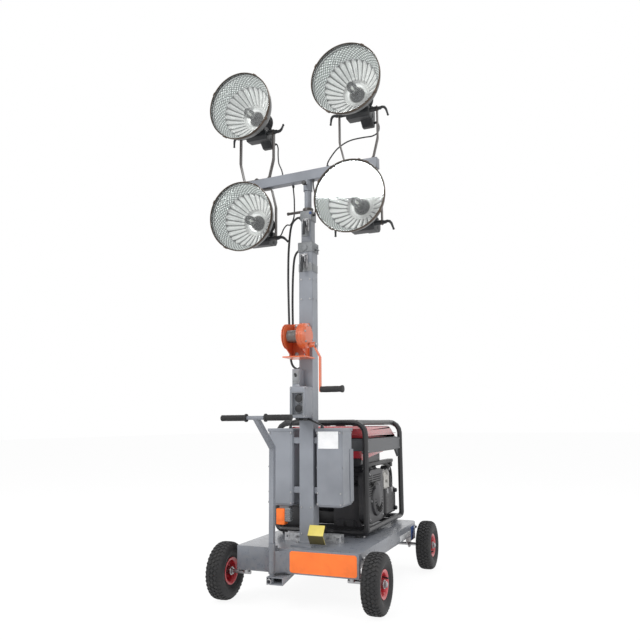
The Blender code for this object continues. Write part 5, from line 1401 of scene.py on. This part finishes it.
# The fuel tank's pressed seam, its cap, gauge and two bolts.
def makeTankFittings():
    seam = slab("tank_seam", (-0.2375, -0.0730, 0.7515), (0.1995, 0.4980, 0.7545), 0.0012)
    dress(seam, "tankRed", "base")
    cap = joined("fuel_cap", [
        lathe("cap", [(0.0, 0.0190), (0.0200, 0.0190), (0.0245, 0.0170), (0.0265, 0.0120), (0.0265, 0.0035),
                      (0.0290, 0.0020), (0.0290, 0.0), (0.0, 0.0)], 48, "Z", (-0.020, 0.150, 0.7940)),
        slab("capGrip", (-0.0420, 0.1465, 0.8125), (0.0020, 0.1535, 0.8195), 0.0016)])
    dress(cap, "castBlack", "base")
    gauge = lathe("fuel_gauge", [(0.0, 0.0060), (0.0120, 0.0060), (0.0145, 0.0050), (0.0155, 0.0025),
                                 (0.0155, 0.0), (0.0, 0.0)], 36, "Z", (0.090, 0.080, 0.7942))
    dress(gauge, "plasticBlack", "base")
    dress(bar("gauge_face", (0.090, 0.080, 0.8000), (0.090, 0.080, 0.8012), 0.0105, 32), "labelWhite", "base")
    feet = scattered("tank_bolts", boltHead(0.0072, 0.0050),
                     [facing((-0.2440, y, 0.7322), (0, 0, 1)) for y in (0.020, 0.400)])
    dress(feet, "steel", "base")


# The side panel is a plain dark plate. The sockets, meter and switches are on the shelf's apron, which
# faces the tow handle, with a red shroud under it.
def makePanel():
    x, low, high = engineSet["panelX"], engineSet["panelLow"], engineSet["panelHigh"]
    plate = slab("panel_plate", (x - 0.001, -0.0980, low + 0.0040), (x + 0.0014, 0.5120, high - 0.0040),
                 0.0008, 1)
    dress(plate, "panelFace", "base")
    screw = bar("screw", (0, 0, 0), (0, 0, 0.0022), 0.0038, 14, edge=0.0006)
    dress(scattered("panel_screws", screw, [facing((x + 0.0012, y, z), (1, 0, 0)) for y in (-0.0905, 0.5060)
                                            for z in (low + 0.0095, high - 0.0095)]), "steel", "base")
    y, z = engineSet["apronY"], engineSet["apronZ"]
    dress(slab("apron_face", (-0.2360, y, 0.6720), (0.1940, -0.0990, 0.7225), 0.0008, 1), "panelFace", "base")
    flanges, lids = [], []
    for at in engineSet["outlets"]:
        flanges.append(bar("flange", (at, y + 0.001, z), (at, y - 0.0050, z), 0.0232, 40, edge=0.0014))
        lids.append(bar("lid", (at, y - 0.0048, z), (at, y - 0.0095, z), 0.0200, 40, edge=0.0016))
        lids.append(slab("lidHinge", (at - 0.0090, y - 0.0100, z + 0.0160),
                         (at + 0.0090, y - 0.0030, z + 0.0215), 0.0010))
    dress(joined("panel_sockets", flanges), "plasticGrey", "base")
    dress(joined("panel_socket_lids", lids), "socketBlue", "base")
    dark = [slab("bezel", (-0.2280, y - 0.0055, z - 0.0210), (-0.1840, y + 0.001, z + 0.0210), 0.0018),
            slab("breaker", (-0.0080, y - 0.0065, z - 0.0200), (0.0240, y + 0.001, z + 0.0200), 0.0016),
            slab("breakerLever", (0.0020, y - 0.0150, z + 0.0010), (0.0140, y - 0.0060, z + 0.0085), 0.0014),
            bar("switchRing", (0.0560, y, z), (0.0560, y - 0.0050, z), 0.0160, 32, edge=0.0012),
            slab("switchKey", (0.0535, y - 0.0190, z - 0.0100), (0.0585, y - 0.0040, z + 0.0100), 0.0012)]
    dark += [bar("terminal", (at, y, z - 0.006), (at, y - 0.0130, z - 0.006), 0.0078, 20, edge=0.0014)
             for at in (0.0920, 0.1180)]
    dress(joined("panel_controls", dark), "plasticBlack", "base")
    dress(bar("terminal_red", (0.0920, y - 0.0120, z - 0.006), (0.0920, y - 0.0155, z - 0.006), 0.0060, 20,
              edge=0.0010), "tankRed", "base")
    dress(slab("meter_face", (-0.2250, y - 0.0062, z - 0.0175), (-0.1870, y - 0.0050, z + 0.0175), 0.0006, 1),
          "labelWhite", "base")
    needle = slab("meter_needle", (-0.2066, y - 0.0068, z - 0.0140), (-0.2056, y - 0.0060, z + 0.0120),
                  0.0002, 1)
    dress(needle, "castBlack", "base")
    shroud = joined("red_shroud", [
        slab("front", (-0.2200, -0.0985, 0.6330), (0.1850, -0.0925, 0.6700), 0.0020),
        profile("side", [(-0.0960, 0.6600), (0.2950, 0.6600), (0.2800, 0.6530), (-0.0960, 0.6240)], "X",
                0.1790, 0.1850, 0.0016)])
    dress(shroud, "tankRed", "base")
    dress(joined("upper_shroud", [slab("front", (-0.2100, -0.0900, 0.5980), (0.1760, -0.0840, 0.6500), 0.0020),
                                  slab("side", (0.1700, -0.0900, 0.6020), (0.1760, 0.2400, 0.6550), 0.0020),
                                  slab("left", (-0.2120, -0.0900, 0.6020), (-0.2060, 0.2400, 0.6550), 0.0020),
                                  slab("top", (-0.2100, -0.0880, 0.6500), (0.1740, 0.2380, 0.6560), 0.0016)]),
          "plasticBlack", "base")


# Starter, louvres, cylinder fins, spark plug and the bar above them, and the battery at the front.
def makeEngine():
    face, y, z = engineSet["face"], engineSet["axleY"], engineSet["axleZ"]
    # recoil starter: a dished cover with a ring of slots, a centre boss and its pull grip
    starter = lathe("starter_cover", [(0.0, 0.0215), (0.0120, 0.0215), (0.0150, 0.0195), (0.0280, 0.0190),
                                      (0.0310, 0.0175), (0.0660, 0.0140), (0.0780, 0.0105), (0.0825, 0.0040),
                                      (0.0830, 0.0), (0.0, 0.0)], 64, "X", (face, y, z))
    dress(starter, "engineGrey", "base")
    # the slots are near-black slabs, painted shade for the openings
    slot, places = ringOfSlots(22, 0.036, 0.064, 0.0044, 0.0040)
    tilted = shift(face + 0.0152, y, z) @ turn(90, "Y") @ turn(-6, "Y")
    dress(scattered("starter_slots", slot, [tilted @ place for place in places]), "openingPaintedShade", "base")
    bolts = scattered("starter_bolts", boltHead(0.0056, 0.0042),
                      circleSpots(face + 0.0010, y, z, 0.0895, 3, 60))
    dress(bolts, "steel", "base")
    rope = bar("rope", (face + 0.012, y - 0.052, z + 0.062), (face + 0.014, y - 0.066, z + 0.080), 0.0024, 12)
    handle = profile("handle", [(y - 0.098, z + 0.076), (y - 0.040, z + 0.082), (y - 0.040, z + 0.092),
                                (y - 0.062, z + 0.100), (y - 0.098, z + 0.090)], "X",
                     face + 0.004, face + 0.020, 0.0040, 3)
    dress(joined("pull_grip", [rope, handle]), "gripRubber", "base")
    # louvre slots in the fan cover as near-black slabs of painted shade: a tall stack in front and a wide one
    # above the starter
    tallSlot, wideSlot = (slab("slot", (-0.0010, -half, -0.0028), (0.0012, half, 0.0028), 0.0009, 1)
                          for half in (0.0290, 0.0310))
    pitch = engineSet["pitch"]
    tall = scattered("tall_louvres", tallSlot, [shift(face, 0.0240, 0.4380 + pitch * n) for n in range(10)])
    wide = scattered("wide_louvres", wideSlot, [shift(face, at, 0.5040 + pitch * n)
                                                for n in range(4) for at in (0.1000, 0.1700)])
    dress(joined("cover_louvres", [tall, wide]), "openingPaintedShade", "base")
    dress(scattered("cover_bolts", boltHead(0.0056, 0.0042),
                    [facing((face, cy, cz), (1, 0, 0)) for cy in (0.006, 0.232) for cz in (0.318, 0.545)]),
          "steel", "base")
    # cylinder head with its fins, spark plug and lead, and the black bar above it
    fin = slab("fin", (-0.0520, -0.0720, -0.0014), (0.0520, 0.0720, 0.0014), 0.0010, 1)
    fins = scattered("head_fins", fin, [shift(0.0620, 0.1300, 0.5060 + pitch * n) for n in range(8)])
    dress(fins, "castSilver", "base")
    boot = bar("boot", (0.118, 0.214, 0.560), (0.146, 0.246, 0.573), 0.0095, 20, edge=0.0020)
    lead = bar("lead", (0.146, 0.246, 0.573), (0.158, 0.262, 0.540), 0.0035, 12)
    dress(joined("spark_plug", [boot, lead]), "castBlack", "base")
    dress(slab("generator_base", (-0.130, 0.030, 0.2866), (0.020, 0.300, 0.3500), 0.0080, 3),
          "plasticBlack", "base")
    battery = joined("battery", [
        slab("tray", (-0.2760, -0.1080, 0.2800), (-0.1480, 0.0360, 0.2830), 0.0012, 1),
        slab("case", (-0.2680, -0.1000, 0.2830), (-0.1560, 0.0280, 0.3860), 0.0050),
        slab("lid", (-0.2690, -0.1010, 0.3800), (-0.1550, 0.0290, 0.3980), 0.0030),
        slab("strap", (-0.2700, -0.0450, 0.2840), (-0.1540, -0.0270, 0.4010), 0.0016)])
    dress(battery, "plasticBlack", "base")
    poles = [bar("pole", (-0.2400, y, 0.3970), (-0.2400, y, 0.4080), 0.0075, 20, edge=0.0012)
             for y in (-0.0830, 0.0110)]
    dress(joined("battery_poles", poles), "steel", "base")
    top = joined("top_bar", [slab("bar", (0.150, 0.015, 0.586), (0.184, 0.478, 0.604), 0.0030),
                             slab("barEnd", (0.150, 0.440, 0.560), (0.180, 0.476, 0.590), 0.0030)])
    dress(top, "plasticBlack", "base")


# Carburettor, crankcase and linkage behind the fan cover, in bare castings.
def makeCarburettor():
    face = engineSet["face"]
    body = joined("carburettor_body", [
        slab("bowlTop", (0.1330, 0.2990, 0.4500), (0.1830, 0.3560, 0.5100), 0.0060, 3),
        bar("throat", (0.1580, 0.2700, 0.5240), (0.1580, 0.4000, 0.5240), 0.0240, 32, edge=0.0020),
        bar("bowl", (0.1600, 0.3300, 0.4480), (0.1600, 0.3300, 0.4700), 0.0250, 32, edge=0.0030),
        slab("flange", (0.1250, 0.2800, 0.4960), (0.1860, 0.2880, 0.5560), 0.0020),
        bar("jet", (0.1840, 0.3300, 0.4880), (0.1940, 0.3300, 0.4880), 0.0085, 6, edge=0.0010),
        bar("drain", (0.1600, 0.3300, 0.4400), (0.1600, 0.3300, 0.4490), 0.0060, 6, edge=0.0008)])
    dress(body, "castSilver", "base")
    case = joined("crankcase_side", [
        slab("case", (0.1200, 0.2500, 0.3000), (0.1600, 0.2900, 0.4300), 0.0050, 3),
        bar("plug", (0.1580, 0.2700, 0.3200), (0.1720, 0.2700, 0.3200), 0.0120, 6, edge=0.0014),
        bar("filler", (0.1500, 0.2700, 0.3900), (0.1500, 0.2720, 0.4060), 0.0130, 24, edge=0.0014)])
    dress(case, "castSilver", "base")
    lever = joined("choke_lever", [slab("lever", (0.1860, 0.3500, 0.5180), (0.1890, 0.3620, 0.5560), 0.0010),
                                   bar("rod", (0.1870, 0.2600, 0.5500), (0.1870, 0.3560, 0.5500), 0.0018, 10),
                                   bar("knob", (0.1860, 0.3560, 0.5540), (0.1980, 0.3560, 0.5540), 0.0070, 20,
                                       edge=0.0016)])
    dress(lever, "steel", "base")
    line = throughPoints([(0.150, 0.215, 0.585), (0.168, 0.290, 0.5895), (0.174, 0.371, 0.5765),
                          (0.172, 0.440, 0.5480), (0.166, 0.480, 0.5000), (0.164, 0.484, 0.4560),
                          (0.164, 0.484, 0.4420)])
    hose = tube("breatherHose", line, 0.0105, 4)
    workOn(hose)
    bpy.ops.object.convert(target="MESH")
    dress(hose, "gripRubber", "base")
    clips = joined("hose_clips", [
        lathe("clip", [(0.0106, -0.003), (0.0122, -0.003), (0.0122, 0.003), (0.0106, 0.003)], 28, "Z",
              (0.164, 0.484, h), closed=True) for h in (0.4480, 0.4620)])
    dress(clips, "steel", "base")
    outline = [(0.0, 0.0150), (0.0080, 0.0150), (0.0115, 0.0125), (0.0120, 0.0040), (0.0095, 0.0), (0.0, 0.0)]
    knobs = [lathe("knob", outline, 14, "X", (face, 0.4680, h)) for h in (0.3270, 0.4260)]
    dress(joined("filter_knobs", knobs), "castBlack", "base")
    dress(joined("filter_clips", [slab("clip", (face - 0.030, y - 0.009, 0.4200),
                                       (face + 0.0030, y + 0.009, 0.4470), 0.0016) for y in (0.330, 0.420)]),
          "steel", "base")
    rib = slab("rib", (-0.0010, -0.0820, -0.0014), (0.0016, 0.0820, 0.0014), 0.0008, 1)
    ribs = scattered("filter_ribs", rib, [shift(face, 0.395, 0.3300 + 0.0140 * n) for n in range(6)])
    dress(ribs, "plasticBlack", "base")


# The alternator's end bell, the silencer with its pierced heat shield, and the rubber feet.
def makeFarSide():
    left = engineSet["left"]
    y, z = engineSet["axleY"], engineSet["mount"] + 0.135
    shell = lathe("end_bell", [(0.0, 0.0240), (0.0300, 0.0240), (0.0340, 0.0200), (0.0860, 0.0130),
                               (0.0985, 0.0060), (0.1010, -0.0060), (0.0, -0.0060)], 56)
    shell.data.transform(shift(left + 0.0560, y, z) @ turn(180, "Z"))
    dress(shell, "castSilver", "base")
    # the slots are near-black slabs, painted shade for the openings
    slot, places = ringOfSlots(16, 0.048, 0.080, 0.0060, 0.0040)
    upright = shift(left + 0.0405, y, z) @ turn(90, "Y")
    dress(scattered("bell_slots", slot, [upright @ place for place in places]), "openingPaintedShade", "base")
    bolts = scattered("stator_bolts", boltHead(0.0056, 0.0042),
                      circleSpots(left + 0.0470, y, z, 0.090, 4, 45, -1))
    dress(bolts, "steel", "base")
    dress(slab("silencer", (-0.195, 0.355, 0.430), (0.020, 0.492, 0.588), 0.022, 4), "steelHeat", "base")
    shield = joined("heat_shield", [slab("top", (-0.208, 0.345, 0.594), (0.032, 0.502, 0.597), 0.0012, 1),
                                    slab("rear", (-0.208, 0.4990, 0.440), (0.032, 0.5020, 0.596), 0.0012, 1)])
    dress(shield, "castSilver", "base")
    # the holes are near-black slabs, painted shade for the openings
    hole = slab("hole", (-0.0030, -0.0008, -0.0120), (0.0030, 0.0008, 0.0120), 0.0026)
    places = [shift(-0.190 + 0.0185 * n, 0.5022, h) for n in range(12) for h in (0.470, 0.515, 0.560)]
    dress(scattered("shield_holes", hole, places), "openingPaintedShade", "base")
    pipe = joined("exhaust_tip", [bar("pipe", (-0.150, 0.480, 0.460), (-0.150, 0.522, 0.452), 0.0125, 28),
                                  bar("bore", (-0.150, 0.5205, 0.4523), (-0.150, 0.5226, 0.4519),
                                      0.0105, 28)])
    dress(pipe, "steelHeat", "base")
    legs = joined("silencer_bracket", [slab("leg", (-0.130, 0.372, 0.290), (-0.110, 0.382, 0.436), 0.0014),
                                       slab("leg", (-0.020, 0.372, 0.290), (0.000, 0.382, 0.436), 0.0014),
                                       slab("foot", (-0.140, 0.330, 0.287), (0.010, 0.392, 0.293), 0.0014)])
    dress(legs, "frameBlack", "base")
    mounts = [bar("mount", (x, yy, 0.2856), (x, yy, 0.3120), 0.0190, 28, edge=0.0030)
              for x in (-0.150, 0.060) for yy in (0.002, 0.322)]
    dress(joined("rubber_mounts", mounts), "gripRubber", "base")
    clamps = joined("foot_pads", [bar("pad", (x, yy, 0.2515), (x, yy, 0.2600), 0.0165, 28, edge=0.0016)
                                  for x in (-0.230, 0.1674) for yy in (-0.1184, 0.5326)])
    dress(clamps, "gripRubber", "base")


makeTankFittings()
makePanel()
makeEngine()
makeCarburettor()
makeFarSide()
print("generator ready")
